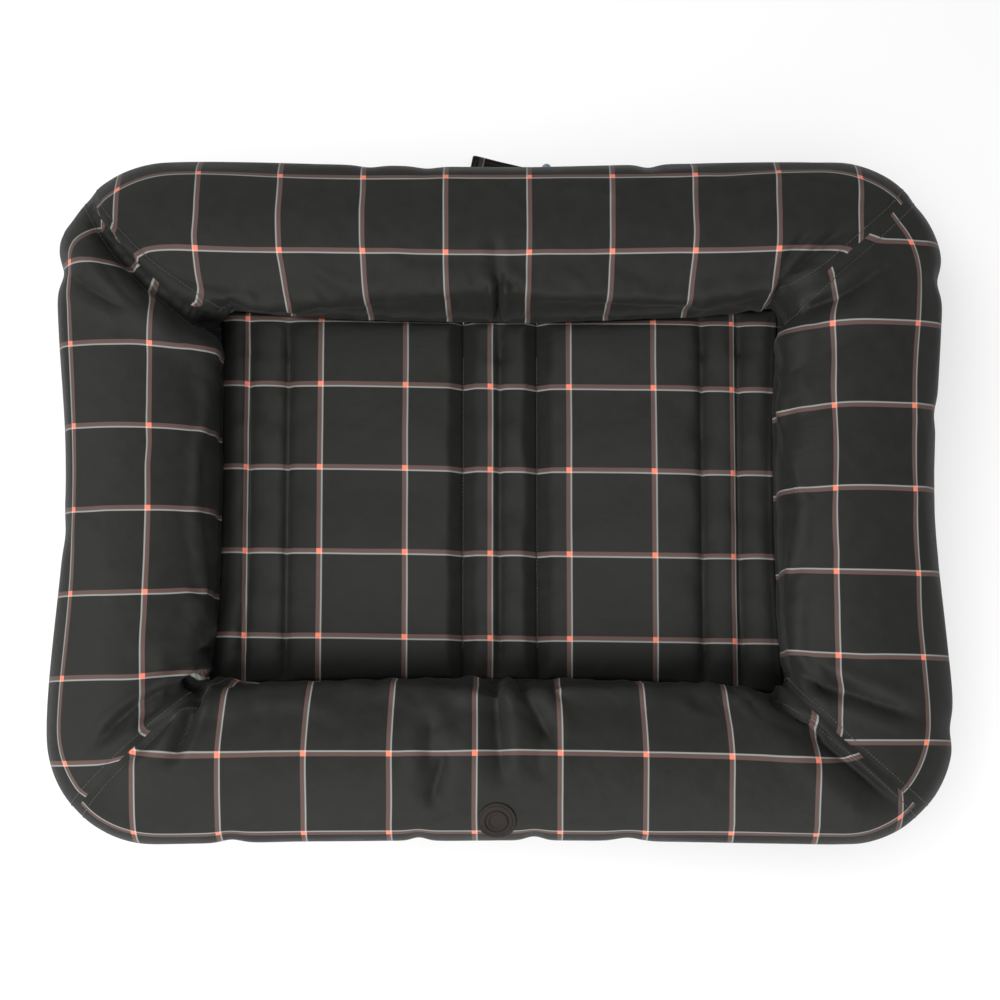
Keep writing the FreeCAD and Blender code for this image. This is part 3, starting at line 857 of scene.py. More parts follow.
FOLDS = [  # start, heading, length, bend, depth, left width, right width
    ((-0.376, 0.192), -37, 0.060, 12, 0.006, 0.008, 0.005),      # back left corner, on the left bolster
    ((-0.352, 0.205), -58, 0.055, 20, 0.004, 0.010, 0.008),      # a soft hollow beside it
    ((0.240, 0.166), 62, 0.110, -34, 0.011, 0.0035, 0.007),      # back right corner, on the back bolster
    ((0.246, 0.190), 72, 0.060, -36, 0.006, 0.0030, 0.005),      # the short fold inside it
    ((0.248, 0.163), 8, 0.118, 38, 0.011, 0.005, 0.008),         # back right corner, on the right bolster
    ((0.243, 0.103), 30, 0.115, -8, 0.0034, 0.012, 0.014),       # long soft drag on the right bolster
    ((0.240, 0.060), 24, 0.080, -6, 0.0024, 0.010, 0.012),       # and a shorter one below it
    ((-0.262, -0.158), 199, 0.122, 36, 0.011, 0.006, 0.0035),    # front left corner, long outer fold
    ((-0.262, -0.162), 207, 0.074, 22, 0.012, 0.006, 0.004),     # front left corner, short inner fold
    ((-0.256, -0.133), 217, 0.070, -26, 0.006, 0.010, 0.010),    # soft dip above them
    ((-0.262, -0.161), 264, 0.086, -28, 0.013, 0.0045, 0.0045),  # front left corner, on the front bolster
    ((0.2750, -0.163), -24, 0.105, 10, 0.009, 0.006, 0.005),     # front right corner, on the right bolster
    ((0.2550, -0.152), -38, 0.060, 14, 0.005, 0.008, 0.006),     # and its shorter neighbour
    ((-0.0025, 0.150), 88, 0.050, 2, 0.020, 0.0024, 0.0024),     # the lasting crease at the back's middle
    ((-0.001, 0.190), 100, 0.044, -12, 0.0040, 0.005, 0.004),    # its faint run over the crest
    ((0.000, 0.195), -38, 0.024, 0, 0.004, 0.004, 0.004),        # and its short branch
    ((-0.004, -0.150), -90, 0.110, 8, 0.0100, 0.006, 0.009),     # front middle, down the middle line
    ((0.0145, -0.152), -70, 0.086, 16, 0.0095, 0.007, 0.007),    # front middle, to the right
    ((0.030, -0.152), -46, 0.045, 0, 0.0060, 0.006, 0.006),      # short one beside it
    ((-0.060, -0.200), -92, 0.045, 0, 0.0045, 0.006, 0.006),     # front, left of the middle
    ((-0.0487, -0.2277), -106, 0.050, 0, 0.0080, 0.007, 0.008),  # front, above the left notch
    ((0.040, -0.200), -104, 0.055, 10, 0.0040, 0.008, 0.008),    # front, above the right notch
]
SEAM_FOLDS = [  # mitre, how far to its left, from, to, depth, left width, right width
    ("back_left", 0.001, 0.0, 0.92, 0.023, 0.012, 0.0018),       # the back bolster hangs over the left one
    ("front_right", -0.010, 0.0, 0.80, 0.013, 0.0020, 0.011),    # a flap hangs over the front bolster
    ("front_left", 0.004, 0.05, 0.60, 0.006, 0.004, 0.004),
    ("back_right", -0.003, 0.05, 0.55, 0.005, 0.004, 0.004),
]
NOTCHES = [  # panel, place along it, depth, width
    ("front", -0.071, 0.003, 0.009), ("front", 0.030, 0.0035, 0.010), ("back", -0.066, 0.002, 0.012),
    ("back", 0.134, 0.003, 0.010), ("back", -0.118, 0.002, 0.012), ("front", -0.235, 0.003, 0.012),
    ("front", 0.112, 0.003, 0.014), ("left", 0.205, 0.006, 0.014), ("left", -0.032, 0.002, 0.016),
    ("right", 0.196, 0.005, 0.014), ("right", -0.205, 0.003, 0.014), ("right", 0.075, 0.0025, 0.012)]
GATHER_DEPTH, GATHER_REACH = 0.0011, 0.016
SEAM_FADE = 0.25
fine_normals = mesh_normals(fine_mesh)
sunk = sum(fold_depth(fine_points, fold_line(*fold[:4]), *fold[4:]) for fold in FOLDS)
for corner, offset, first, last, depth, left, right in SEAM_FOLDS:
    route = seam_line(corner, offset, first, last)
    sunk = sunk + fold_depth(fine_points, route, depth, left, right, SEAM_FADE)
for name, place, depth, width in NOTCHES:
    run = PANELS[name][2]
    facing = fine_points[:, :2] @ np.array(PANELS[name][1])
    beside = np.exp(-((fine_points[:, run] - place) / width) ** 2)
    at_edge = smooth((facing - ((HALF_LONG, HALF_WIDE)[1 - run] - 0.034)) / 0.03)
    low_side = smooth((0.100 - fine_points[:, 2]) / 0.03) * smooth((fine_points[:, 2] - 0.004) / 0.02)
    sunk = sunk + depth * beside * at_edge * low_side
for name, (along_axis, out_axis, run) in PANELS.items():
    place, facing = fine_points[:, run], fine_points[:, :2] @ np.array(out_axis)
    seam_gap = facing - (INNER[1 - run] - inner_sag(name, place * along_axis[run]))
    within = smooth((INNER[run] + 0.02 - np.abs(place)) / 0.04) * (seam_gap > -0.012)
    gathers = ripple(place, seam_gap * 0.25, 20 + run, waves=9, low=24, high=72)
    sunk = sunk + GATHER_DEPTH * gathers * within * np.exp(-np.maximum(seam_gap, 0) / GATHER_REACH)
top_side = smooth((fine_points[:, 2] - 0.010) / 0.02)
fine_points = fine_points - fine_normals * (sunk * top_side)[:, None]
fine_mesh.vertices.foreach_set("co", fine_points.ravel())
fine_mesh.update()
print("folds", len(FOLDS), "deepest", sunk.max())

# %% [markdown]
# ## Cutting the ring into bolsters
#
# The bed folds, so the ring can't stay one piece: each half and the narrow middle ride on their own body.
# Cutting by segment leaves open rims, and each rim is closed with one flat face, as a stuffed bolster is
# closed by the cloth of its seam. The skin keeps the normals of the whole ring, so that no cut shows while
# the bed lies open.

# %% Bodies, own meshes and the finer ring's arrays
BODY_OF = {"left": "left_half", "right": "right_half", "centre": "spine"}


def flatten_with_fold(piece):
    """Gives the piece a mesh of its own."""
    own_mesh(piece)


corner_total = len(fine_mesh.loops)
fine_corner = np.zeros(corner_total, np.int32)
fine_mesh.loops.foreach_get("vertex_index", fine_corner)
fine_uv = np.zeros(corner_total * 2, np.float32)
fine_mesh.uv_layers[0].data.foreach_get("uv", fine_uv)
fine_quads = fine_corner.reshape(-1, 4)
fine_uv = fine_uv.reshape(-1, 4, 2)
fine_segment = np.zeros(len(fine_quads), np.int32)
fine_mesh.polygons.foreach_get("material_index", fine_segment)
vertex_normals = mesh_normals(fine_mesh)
print("fine corners", corner_total)


# %% Close each segment and hand it to its body
def rim_loops(quads):
    """The open edges of a patch, joined end to end into closed rings of point numbers."""
    edges = np.concatenate([quads[:, [i, (i + 1) % 4]] for i in range(4)])
    key = np.sort(edges, axis=1)
    _, where, count = np.unique(key, axis=0, return_index=True, return_counts=True)
    follow = {int(b): int(a) for a, b in edges[where[count == 1]]}
    loops = []
    while follow:
        start, here = next(iter(follow.items()))
        loop = [start]
        del follow[start]
        while here != start:
            loop.append(here)
            here = follow.pop(here)
        loops.append(loop)
    return loops


bolsters = {}
for number, segment in enumerate(segment_names):
    quads = fine_quads[fine_segment == number]
    used, local = np.unique(quads, return_inverse=True)
    local = local.reshape(-1, 4)
    caps = rim_loops(local)
    loop_uv = [fine_uv[fine_segment == number].reshape(-1, 2)]
    loop_normal = [vertex_normals[quads.ravel()]]
    for cap in caps:
        p = fine_points[used][cap]
        across_cap = np.cross(p[len(cap) // 3] - p[0], p[2 * len(cap) // 3] - p[0])
        loop_normal.append(np.tile(across_cap / np.linalg.norm(across_cap), (len(cap), 1)))
        loop_uv.append(np.stack([np.hypot(p[:, 0], p[:, 1]), p[:, 2]], axis=1))
    piece = new_piece(f"{segment}_bolster", fine_points[used], local.tolist() + caps, plaid,
                      np.concatenate(loop_uv))
    piece.data.normals_split_custom_set(np.concatenate(loop_normal).tolist())
    body = BODY_OF["centre" if "centre" in segment else "left" if "left" in segment else "right"]
    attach(piece, body)
    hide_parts(f"{segment}_bolster_cover", f"{segment}_bolster_fill")
    flatten_with_fold(piece)
    bolsters[segment] = piece
bpy.data.objects.remove(ring_piece)
print("bolsters", {n: len(p.data.polygons) for n, p in bolsters.items()})

# %% [markdown]
# ## The quilted pad
#
# The pad is two layers of plaid with wadding between, sewn through along seven lines. The sewing makes
# wide soft panels, and narrow channels beside the two fold lines and near each end. It is one height
# function over the hollow, cut into three pieces where the bed folds. Beside the two fold lines the
# height is held under a slope of about 45 degrees, so that the pieces clear each other better as they
# fold up. The plan is stretched near its rim, so that the pad ends where the four inner seams sag to.

# %% The pad's height
PAD_LINES = np.array([-HOLLOW_X, -0.228, -0.194, -FOLD, 0.0, FOLD, 0.185, 0.219, HOLLOW_X])
CLOTH_TAKEN = np.array([0.0052, 0.0052, 0.0, 0.0029, 0.0029, 0.0052, 0.0052])
PAD_CROWN = np.array([0.0100, 0.0090, 0.0125, 0.0090, 0.0090, 0.0125, 0.0090, 0.0100])
STITCHED_TO, VALLEY_Z, RIM_Z = 0.136, 0.0062, 0.0115
ARCH_REACH, STEEP_REACH, ARCH_SHARE, STEEP_SHARE = 0.060, 0.0035, 0.42, 0.58
FILL_HEIGHT, FILL_WIDTH = 0.0035, 0.012          # the valleys past the end of the sewing
TACK_DEPTH, TACK_LONG, TACK_WIDE = 0.0022, 0.004, 0.006  # the dip at the last stitch
TUG_SHARE, TUG_REACH, LUMP_HEIGHT = 0.20, 0.010, 0.0011
RIM_ROUND = 0.016
FOLD_SLOPE, FOLD_THIN = 1.02, 0.0010


def pad_height(x, y):
    """Height of the pad's top. Between two sewn lines it rises as a flat-topped arch; past the end of
    the sewing the valleys fill in; at the hollow's edge it rounds off to the seam; and it stays under a
    straight slope that climbs from each fold line."""
    cell = np.clip(np.searchsorted(PAD_LINES, x, side="right") - 1, 0, len(PAD_CROWN) - 1)
    low, high = PAD_LINES[cell], PAD_LINES[cell + 1]
    share = np.clip((x - low) / (high - low), 0, 1)
    wide = high - low
    near = np.minimum(share, 1 - share) * wide
    arch = np.sqrt(np.clip(1 - (1 - np.clip(near / np.minimum(wide / 2, ARCH_REACH), 0, 1)) ** 2, 0, 1))
    steep = 1 - np.exp(-near / STEEP_REACH)
    rise = PAD_CROWN[cell] * (ARCH_SHARE * arch + STEEP_SHARE * steep)
    line_gap = np.min(np.abs(x[..., None] - PAD_LINES[1:-1]), axis=-1)
    free = smooth((np.abs(y) - STITCHED_TO) / 0.02)
    filled = FILL_HEIGHT * free * np.exp(-(line_gap / FILL_WIDTH) ** 2)
    tug = 1 + TUG_SHARE * ripple(x * 0.2, y, 5, low=24, high=80) * np.exp(-line_gap / TUG_REACH)
    edge = np.minimum(HOLLOW_X - np.abs(x), HOLLOW_Y - np.abs(y))
    round_off = np.sqrt(np.clip(1 - (1 - np.clip(edge / RIM_ROUND, 0, 1)) ** 2, 0, 1))
    lumps = LUMP_HEIGHT * ripple(x, y, 8, low=4, high=12) * arch
    beyond = (np.abs(y) - STITCHED_TO) / TACK_LONG
    tack = -TACK_DEPTH * np.exp(-beyond ** 2) * np.exp(-line_gap / TACK_WIDE)
    body = VALLEY_Z + np.maximum(rise, filled) * tug + lumps + tack
    fold_gap = np.abs(np.abs(x) - FOLD)
    return np.minimum(RIM_Z + (body - RIM_Z) * round_off, FLOOR_Z + FOLD_THIN + FOLD_SLOPE * fold_gap)


PAD_GATHER_X, PAD_GATHER_Y = 76.0 / 77.7, 76.0 / 76.9
PAD_START_X, PAD_START_Y = -0.0105, 0.1078       # a crossing of the plaid
ROW_SLANT, END_TURN = 0.013, 0.0165


def pad_cloth(x, y):
    """Cloth coordinates of the pad: each sewn line takes up a little of the width, as a step smoothed by
    a hyperbolic tangent; the rows slant a little and turn down at the two ends."""
    taken = sum(t / 2 * (np.tanh((x - line) / 0.004) + (1 if line < 0 else -1) * (line != 0))
                for line, t in zip(PAD_LINES[1:-1], CLOTH_TAKEN))
    down_edge = END_TURN * smooth((np.abs(y) - 0.140) / 0.030) * np.sign(y)
    return ((x - PAD_START_X) * PAD_GATHER_X + taken + CLOTH_TAKEN[3] / 2,
            -(y + ROW_SLANT * x + down_edge - PAD_START_Y) * PAD_GATHER_Y)


STRETCH_X, STRETCH_Y = 0.20, 0.09                # the stretch starts this far from the pad's middle


def to_seams(x, y):
    """The pad's plan stretched near its rim so that its edges meet the four sagging seams."""
    end_x = smooth((np.abs(x) - STRETCH_X) / (HOLLOW_X - STRETCH_X))
    end_y = smooth((np.abs(y) - STRETCH_Y) / (HOLLOW_Y - STRETCH_Y))
    side_sag = np.where(x > 0, inner_sag("right", y), inner_sag("left", -y))
    end_sag = np.where(y > 0, inner_sag("back", -x), inner_sag("front", x))
    return x - np.sign(x) * side_sag * end_x, y - np.sign(y) * end_sag * end_y


def closed_slab(top, under_z):
    """Points and quads of a slab: the top grid, the same grid at one low height, and four walls."""
    rows, columns = top.shape[:2]
    under = top.copy()
    under[..., 2] = under_z
    total = rows * columns
    number = np.arange(total).reshape(rows, columns)
    walls = []
    for line in (number[0], number[:, -1], number[-1, ::-1], number[::-1, 0]):
        walls.append(np.stack([line[:-1], line[1:], line[1:] + total, line[:-1] + total], axis=1))
    quads = grid_quads(rows, columns)
    return (np.concatenate([top.reshape(-1, 3), under.reshape(-1, 3)]),
            np.concatenate([quads[:, ::-1] + total, quads, *walls]))


print("sewn lines", PAD_LINES[1:-1])


# %% Make the three pieces of the pad
def pad_piece(name, x_low, x_high, body, replaced):
    """One part of the pad between two x places, on a fine grid whose lines fall on the sewn lines."""
    lines = PAD_LINES[(PAD_LINES >= x_low - 1e-6) & (PAD_LINES <= x_high + 1e-6)]
    x = np.concatenate([np.linspace(a, b, max(6, int((b - a) / 0.0028)) + 1)[:-1]
                        for a, b in zip(lines[:-1], lines[1:])] + [lines[-1:]])
    y = np.linspace(-HOLLOW_Y, HOLLOW_Y, 123)
    gx, gy = np.meshgrid(x, y, indexing="ij")
    seam_x, seam_y = to_seams(gx, gy)
    top = np.stack([seam_x, seam_y, pad_height(gx, gy)], axis=-1)
    points, quads = closed_slab(top, FLOOR_Z + 0.0003)
    if not outward(points, quads):
        quads = quads[:, ::-1]
    cloth_u, cloth_v = pad_cloth(points[:, 0], points[:, 1])
    piece = new_piece(name, points, quads, plaid, np.stack([cloth_u, cloth_v], axis=-1)[quads.ravel()])
    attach(piece, body)
    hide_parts(*replaced)
    return piece


pads = [
    pad_piece("quilted_pad_left", -HOLLOW_X, -FOLD, "left_half",
              [n for n in nodes if n == "pad_cover_left" or n.startswith("wadding_left")]),
    pad_piece("quilted_pad_spine", -FOLD, FOLD, "spine",
              [n for n in nodes if n == "pad_cover_spine" or n.startswith("wadding_spine")]),
    pad_piece("quilted_pad_right", FOLD, HOLLOW_X, "right_half",
              [n for n in nodes if n == "pad_cover_right" or n.startswith("wadding_right")])]
print("pad pieces", [len(p.data.polygons) for p in pads])

# %% [markdown]
# ## Stitches
#
# Every seam that shows is sewn with a dark thread in stitches about three millimetres apart. A line in
# the material would be flat, so each stitch is a small rounded grain of thread, lying along its seam.
# One grain is worked out once and then repeated along a list of places, directions and normals.

# %% Stitch helpers
STITCH_STEP, STITCH_LENGTH, THREAD_RADIUS = 0.0031, 0.0023, 0.00042


def spaced(line, normals, step):
    """Points, directions and normals every step metres along a line of points."""
    along = np.concatenate([[0], np.cumsum(np.linalg.norm(np.diff(line, axis=0), axis=1))])
    count = max(2, int(along[-1] / step))
    at = np.linspace(0, along[-1], count)
    points = np.stack([np.interp(at, along, line[:, i]) for i in range(3)], axis=1)
    up = np.stack([np.interp(at, along, normals[:, i]) for i in range(3)], axis=1)
    direction = np.gradient(points, axis=0)
    return points, unit(direction), unit(up)


def sew(name, points, directions, ups, body, squashes=False, length=STITCH_LENGTH, radius=THREAD_RADIUS):
    """One piece of many grains: five rings of six points whose radius swells and shrinks along the grain
    as the root of a sine, closed by its two ends."""
    rings, sides = 5, 6
    share = np.linspace(0.04, 0.96, rings)
    fat = radius * np.sqrt(np.sin(share * math.pi))
    turn = np.arange(sides) / sides * 2 * math.pi
    cross = np.cross(directions, ups)
    grain = np.stack([np.repeat((share - 0.5) * length, sides),
                      (fat[:, None] * np.cos(turn)).ravel(), (fat[:, None] * np.sin(turn)).ravel()], axis=1)
    grain = np.concatenate([grain, [[-length / 2, 0, 0], [length / 2, 0, 0]]])
    placed = (points[:, None] + grain[None, :, :1] * directions[:, None]
              + grain[None, :, 1:2] * cross[:, None] + grain[None, :, 2:] * ups[:, None])
    quads = grid_quads(rings, sides, wrap_columns=True)
    ends = [[rings * sides, (i + 1) % sides, i] for i in range(sides)]
    last = (rings - 1) * sides
    ends += [[rings * sides + 1, last + i, last + (i + 1) % sides] for i in range(sides)]
    sample = placed[0]
    centre = sample.mean(axis=0)
    a, b, c = (sample[quads[0, i]] - centre for i in range(3))
    if np.dot(np.cross(b - a, c - a), a) < 0:
        quads = quads[:, ::-1]
    a, b, c = (sample[i] - centre for i in ends[0])
    if np.dot(np.cross(b - a, c - a), a) < 0:
        ends = [corners_of_end[::-1] for corners_of_end in ends]
    size = len(grain)
    shift = (np.arange(len(points)) * size)[:, None, None]
    all_faces = ((np.asarray(quads)[None] + shift).reshape(-1, 4).tolist()
                 + (np.asarray(ends)[None] + shift).reshape(-1, 3).tolist())
    piece = new_piece(name, placed, all_faces, thread)
    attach(piece, body)
    if squashes:
        flatten_with_fold(piece)
    print(name, len(points), "stitches")


def straight_seams(lines):
    """Stitches along lines of constant x on the pad, just above the pad's own height."""
    y = np.linspace(-STITCHED_TO, STITCHED_TO + 0.001, 120)
    parts = []
    for x in lines:
        seam_x, seam_y = to_seams(np.full_like(y, x), y)
        line = np.stack([seam_x, seam_y, pad_height(np.full_like(y, x), y) + 0.0003], axis=1)
        parts.append(spaced(line, np.tile([0, 0, 1.0], (len(y), 1)), STITCH_STEP))
    return [np.concatenate(column) for column in zip(*parts)]


print("stitches", STITCH_STEP, "m apart")

# %% Sew the pad and the mitres
sew("pad_stitches_left", *straight_seams(PAD_LINES[1:3]), "left_half")
sew("pad_stitches_spine", *straight_seams([-FOLD, 0.0, FOLD]), "spine")
sew("pad_stitches_right", *straight_seams(PAD_LINES[6:8]), "right_half")
coarse = fine_points[:STATIONS * ROWS].reshape(STATIONS, ROWS, 3)
coarse_normals = vertex_normals[:STATIONS * ROWS].reshape(STATIONS, ROWS, 3)
SEWN_ROWS = slice(3, ROWS - ROWS_UNDER - 3)
for half in ("left", "right"):
    parts = []
    for corner in (f"front_{half}", f"back_{half}"):
        for offset in (-1, 1):
            column = (MITRES[corner] + offset) % STATIONS
            normals = coarse_normals[column, SEWN_ROWS]
            parts.append(spaced(coarse[column, SEWN_ROWS] + normals * 0.0002, normals, STITCH_STEP))
    sew(f"mitre_stitches_{half}", *[np.concatenate(column) for column in zip(*parts)],
        f"{half}_half", squashes=True)

# %% [markdown]
# ## The badge
#
# A round patch of pressed leather is sewn to the middle of the front bolster. It is a profile turned
# about its own axis: a rounded rim, a channel for the sewing, and two plain raised rings round a shallow
# centre. The disc is then laid on the bolster and bent a little, because the bolster curves under it.

# %% Turned shapes
AXIS_R = 0.00001           # a turned profile starts and ends almost on its axis


def turned(profile, sides):
    """Points and faces of a profile of (radius, height) pairs turned about the height axis. A tiny
    many-sided face closes each end."""
    turn = np.arange(sides) / sides * 2 * math.pi
    points = np.stack([profile[:, :1] * np.cos(turn), profile[:, :1] * np.sin(turn),
                       np.repeat(profile[:, 1:], sides, axis=1)], axis=-1)
    quads = grid_quads(len(profile), sides, wrap_columns=True).tolist()
    last = (len(profile) - 1) * sides
    return points.reshape(-1, 3), quads + [list(range(sides))[::-1], list(range(last, last + sides))]


def rounded(corners, each=5):
    """A smooth profile through the corners: Catmull-Rom spans between each pair, kept off the axis."""
    c = np.asarray(corners, float)
    c = np.concatenate([[2 * c[0] - c[1]], c, [2 * c[-1] - c[-2]]])
    t = np.linspace(0, 1, each, endpoint=False)[None, :, None]
    p0, p1, p2, p3 = (c[i:len(c) - 3 + i][:, None] for i in range(4))
    spans = 0.5 * (2 * p1 + (p2 - p0) * t + (2 * p0 - 5 * p1 + 4 * p2 - p3) * t ** 2
                   + (3 * p1 - p0 - 3 * p2 + p3) * t ** 3)
    profile = np.concatenate([spans.reshape(-1, 2), corners[-1:]])
    profile[:, 0] = np.maximum(profile[:, 0], AXIS_R)
    return profile


def surface_spot(target):
    """The nearest place on the finished ring, the normal there, and two directions along the surface."""
    near = np.linalg.norm(fine_points - np.asarray(target), axis=1)
    close = np.argsort(near)[:40]
    up = unit(vertex_normals[close].mean(axis=0))
    across = unit(np.cross(up, [0, 0, 1.0]))
    return fine_points[close[:6]].mean(axis=0), up, -across, np.cross(up, -across)


def laid(points, spot, curl=0.0):
    """Points of a flat piece carried to a spot on the ring. curl bends it along the roll: a point sinks
    by half its squared distance down the slope over the roll's radius."""
    place, up, across, down = spot
    sink = curl * points[:, 1] ** 2 / 2
    return (place + points[:, :1] * across + points[:, 1:2] * down
            + (points[:, 2] - sink)[:, None] * up)


def facing_out(points, polygons):
    """The polygons, turned over if the closed shape they make is inside out."""
    total = 0.0
    for face in polygons[:-2]:
        a, b, c = points[face[0]], points[face[1]], points[face[2]]
        total += np.dot(a - points.mean(axis=0), np.cross(b - a, c - a))
    return polygons if total > 0 else [face[::-1] for face in polygons]


print("turned shapes ready")

# %% Badge
low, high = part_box("badge")
badge_centre = (np.array(low) + np.array(high)) / 2
badge_radius = float(high.x - low.x) / 2
badge_profile = [(AXIS_R, -0.0012), (0.6, -0.0012), (0.97, -0.0012), (1.0, -0.0002), (0.985, 0.0008),
                 (0.93, 0.0012), (0.885, 0.00105), (0.86, 0.00055), (0.835, 0.00055), (0.81, 0.00105),
                 (0.74, 0.0012), (0.64, 0.00115), (0.60, 0.0003), (0.56, 0.0003), (0.52, 0.0010),
                 (0.42, 0.0010), (0.38, 0.0003), (0.2, 0.0002), (AXIS_R, 0.0002)]
badge_profile = rounded([(r * badge_radius, h) for r, h in badge_profile], 4)
disc, disc_faces = turned(badge_profile, 72)
BADGE_OFFSET = np.array([-0.003, 0.003, 0.002])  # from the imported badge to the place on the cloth
BADGE_LIFT, BADGE_CURL, SEWN_AT = 0.0006, 1 / 0.06, 0.85
badge_spot = surface_spot(badge_centre + BADGE_OFFSET)
disc = laid(disc + np.array([0, 0, BADGE_LIFT]), badge_spot, curl=BADGE_CURL)
badge = new_piece("front_badge", disc, facing_out(disc, disc_faces), leather)
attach(badge, "spine")
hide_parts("badge")
flatten_with_fold(badge)
BADGE_STITCHES = 44
round_turn = np.arange(BADGE_STITCHES) / BADGE_STITCHES * 2 * math.pi
ring_line = np.stack([SEWN_AT * badge_radius * np.cos(round_turn),
                      SEWN_AT * badge_radius * np.sin(round_turn),
                      np.full(BADGE_STITCHES, BADGE_LIFT + 0.0008)], axis=1)
ring_line = laid(ring_line, badge_spot, curl=BADGE_CURL)
ring_way = unit(np.roll(ring_line, -1, axis=0) - np.roll(ring_line, 1, axis=0))
sew("badge_stitches", ring_line, ring_way, np.tile(badge_spot[1], (BADGE_STITCHES, 1)), "spine",
    squashes=True, length=0.0016, radius=0.00030)

# %% [markdown]
# ## The closing tab
#
# The tab is two layers of the plaid, turned and topstitched round its edge. It comes out from under the
# back seam, a little askew, and its free end curls up. It is a thin closed sheet: one grid over its
# width and length, given a thickness that thins towards the edge, as a turned seam does.

# %% Tab
low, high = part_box("closing_tab")
TAB_ROOT, TAB_END, TAB_THICK = float(low.y), float(high.y), float(high.z)
TAB_WIDTH, TAB_TURN = 0.052, math.radians(-13)
TAB_CORNER = np.array([-0.0250, TAB_END + 0.0037])
TAB_LIFT, TAB_LENGTH, HEM, HEM_WIDE, TAB_EDGE = 0.0045, 0.049, 0.0035, 0.0007, 0.0016
TAB_PLAID = (0.0105, 0.020)                      # a crossing of the plaid, from the tab's corner
UPWARDS = np.array([0, 0, 1.0])
ACROSS = np.array([math.cos(TAB_TURN), math.sin(TAB_TURN)])
ALONG = np.array([-math.sin(TAB_TURN), math.cos(TAB_TURN)])


def tab_surface(s, t, lift):
    """The tab's middle at s across (0 to 1) and t from its root (0) to its free end (1). Each side runs
    straight back from the end to the line of the seam, so the root is cut at a slant. The end corners are
    rounded and the end curls up as t to the fifth."""
    end = TAB_CORNER + (s * TAB_WIDTH)[..., None] * ACROSS
    run = (end[..., 1] - TAB_ROOT) / ALONG[1]
    corner = 0.0012 * (np.clip((np.abs(2 * s - 1) - 0.90) / 0.10, 0, 1) ** 2) * t ** 6
    flat = end - ((1 - t) * run + corner)[..., None] * ALONG
    rise = TAB_THICK / 2 + lift * t ** 5 * (1.1 - 0.8 * s) + 0.0004 * (1 + np.sin(3.1 * s * math.pi)) * t
    return np.concatenate([flat, rise[..., None]], axis=-1)


s_line = (1 - np.cos(np.linspace(0, math.pi, 41))) / 2
t_line = (1 - np.cos(np.linspace(0, math.pi, 47))) / 2
s_grid, t_grid = np.meshgrid(s_line, t_line, indexing="ij")
tab_middle = tab_surface(s_grid, t_grid, TAB_LIFT)
edge_gap = np.minimum(np.minimum(s_grid, 1 - s_grid) * TAB_WIDTH, (1 - t_grid) * TAB_LENGTH)
half_thick = TAB_THICK / 2 * (0.12 + 0.88 * np.sqrt(np.clip(edge_gap / TAB_EDGE, 0, 1)))
half_thick = half_thick * (1 - 0.25 * np.exp(-((edge_gap - HEM) / HEM_WIDE) ** 2))
tab_top = tab_middle + half_thick[..., None] * UPWARDS
tab_points, tab_quads = closed_slab(tab_top, 0.0)
tab_points[s_grid.size:] = (tab_middle - half_thick[..., None] * UPWARDS).reshape(-1, 3)
if not outward(tab_points, tab_quads):
    tab_quads = tab_quads[:, ::-1]
tab_across = (tab_points[:, :2] - TAB_CORNER) @ ACROSS - TAB_PLAID[0]
tab_along = (tab_points[:, :2] - TAB_CORNER) @ ALONG - TAB_PLAID[1]
tab_uv = np.stack([tab_across, tab_along], axis=1)[tab_quads.ravel()]
tab = new_piece("closing_tab_cloth", tab_points, tab_quads, plaid, tab_uv)
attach(tab, "tab")
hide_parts("closing_tab")
hem, hem_t = HEM / TAB_WIDTH, 1 - HEM / TAB_LENGTH
route_s = np.concatenate([np.full(30, hem), np.linspace(hem, 1 - hem, 24), np.full(30, 1 - hem)])
route_t = np.concatenate([np.linspace(0.05, hem_t, 30), np.full(24, hem_t), np.linspace(hem_t, 0.05, 30)])
hem_line = tab_surface(route_s, route_t, TAB_LIFT) + TAB_THICK / 2 * 0.85 * UPWARDS
sew("tab_stitches", *spaced(hem_line, np.tile(UPWARDS, (len(hem_line), 1)), STITCH_STEP), "tab")

# %% [markdown]
# ## The stud and the socket
#
# The stud is a small domed cap of blued metal on the back bolster, and the socket that snaps over it sits
# on the tab. Both are turned profiles, like the badge. The dome is laid on the cloth, and the socket stays
# in its packed place.

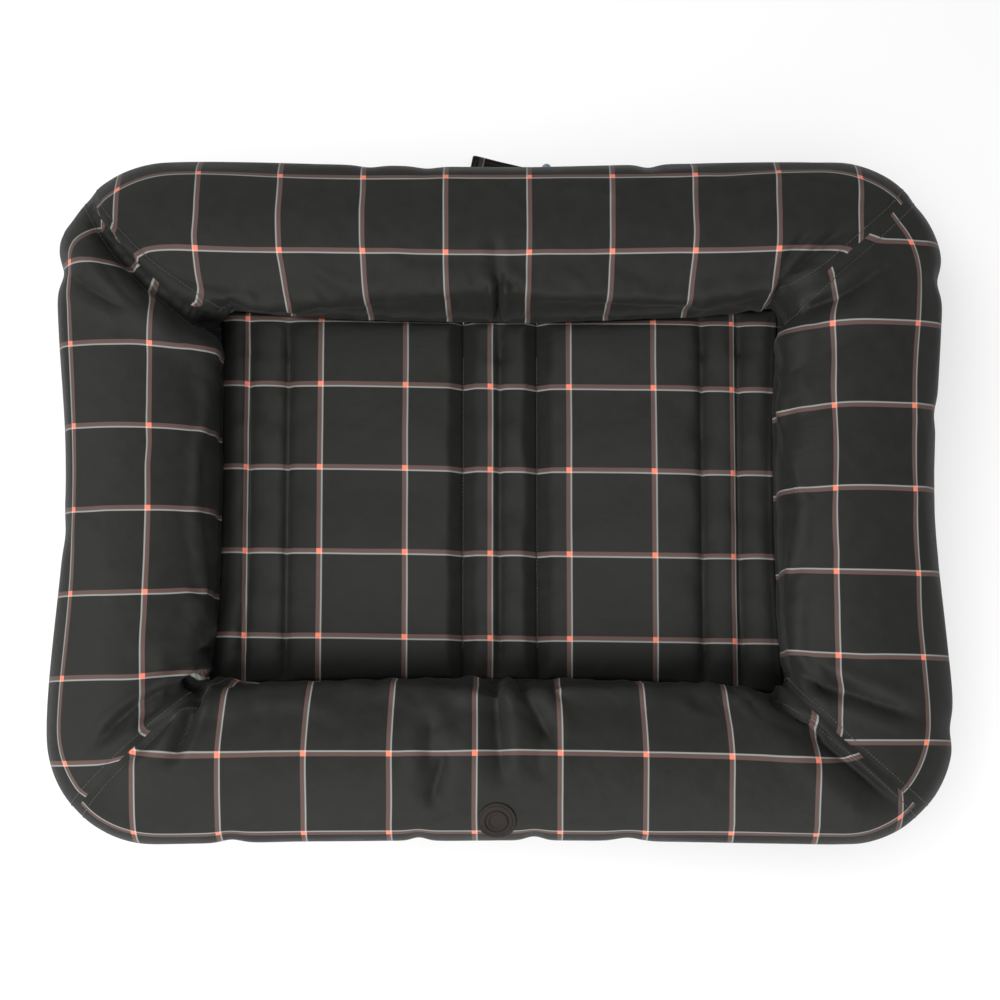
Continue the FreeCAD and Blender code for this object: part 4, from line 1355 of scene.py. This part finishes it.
# %% Press stud and its socket
STUD_R = float(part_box("press_stud")[1].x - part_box("press_stud")[0].x) / 2
stud_centre = (np.array(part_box("press_stud")[0]) + np.array(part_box("press_stud")[1])) / 2
stud_profile = rounded([(AXIS_R, -0.0015), (0.9 * STUD_R, -0.0015), (1.08 * STUD_R, -0.0008),
                        (1.10 * STUD_R, 0.0002), (1.0 * STUD_R, 0.0007), (0.86 * STUD_R, 0.0009),
                        (0.80 * STUD_R, 0.0016), (0.60 * STUD_R, 0.0027), (0.30 * STUD_R, 0.0034),
                        (AXIS_R, 0.0036)], 5)
dome, dome_faces = turned(stud_profile, 48)
STUD_OFFSET, STUD_HEIGHT = -0.007, 0.061         # along the bolster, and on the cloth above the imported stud
dome = laid(dome, surface_spot([stud_centre[0] + STUD_OFFSET, stud_centre[1], STUD_HEIGHT]))
stud = new_piece("back_press_stud", dome, facing_out(dome, dome_faces), metal)
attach(stud, "right_half")
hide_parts("press_stud")
flatten_with_fold(stud)
low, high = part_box("press_stud_socket")
SOCKET_R, SOCKET_TALL = float(high.x - low.x) / 2, float(high.z - low.z)
socket_profile = rounded([(AXIS_R, -0.0003), (0.9 * SOCKET_R, -0.0003), (SOCKET_R, 0.0002),
                          (0.97 * SOCKET_R, 0.65 * SOCKET_TALL), (0.80 * SOCKET_R, SOCKET_TALL),
                          (0.55 * SOCKET_R, 0.95 * SOCKET_TALL), (0.40 * SOCKET_R, 0.75 * SOCKET_TALL),
                          (0.36 * SOCKET_R, 0.30 * SOCKET_TALL), (AXIS_R, 0.22 * SOCKET_TALL)], 5)
well, well_faces = turned(socket_profile, 48)
well = well + np.array([(low.x + high.x) / 2, (low.y + high.y) / 2, low.z])
socket = new_piece("tab_press_socket", well, facing_out(well, well_faces), metal)
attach(socket, "tab")
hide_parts("press_stud_socket")
print("stud at", stud_centre, "badge at", badge_centre, badge_spot[0], badge_spot[1])
print("stud", STUD_R, "socket", SOCKET_R)

# %% [markdown]
# ## The floor
#
# A plain pale sheet for the bed to lie on.

# %% Floor
floor = new_piece("floor", [(-6, -6, 0), (6, -6, 0), (6, 6, 0), (-6, 6, 0)], [[0, 1, 2, 3]], None)
paper, _, shader = start_material("pale_floor")
shader.inputs["Base Color"].default_value = (0.93, 0.93, 0.93, 1)
shader.inputs["Roughness"].default_value = 0.9
shader.inputs["Specular IOR Level"].default_value = 0.1
floor.data.materials.append(paper)


def link_light(lamp, piece, state):
    """INCLUDE makes the lamp light that piece alone, and EXCLUDE makes it light all but that piece."""
    group = bpy.data.collections.new(lamp.name + "_receivers")
    group.objects.link(piece)
    lamp.light_linking.receiver_collection = group
    group.collection_objects[0].light_linking.link_state = state


link_light(bed_lamp, floor, "EXCLUDE")
link_light(floor_lamp, floor, "INCLUDE")
print("floor down")
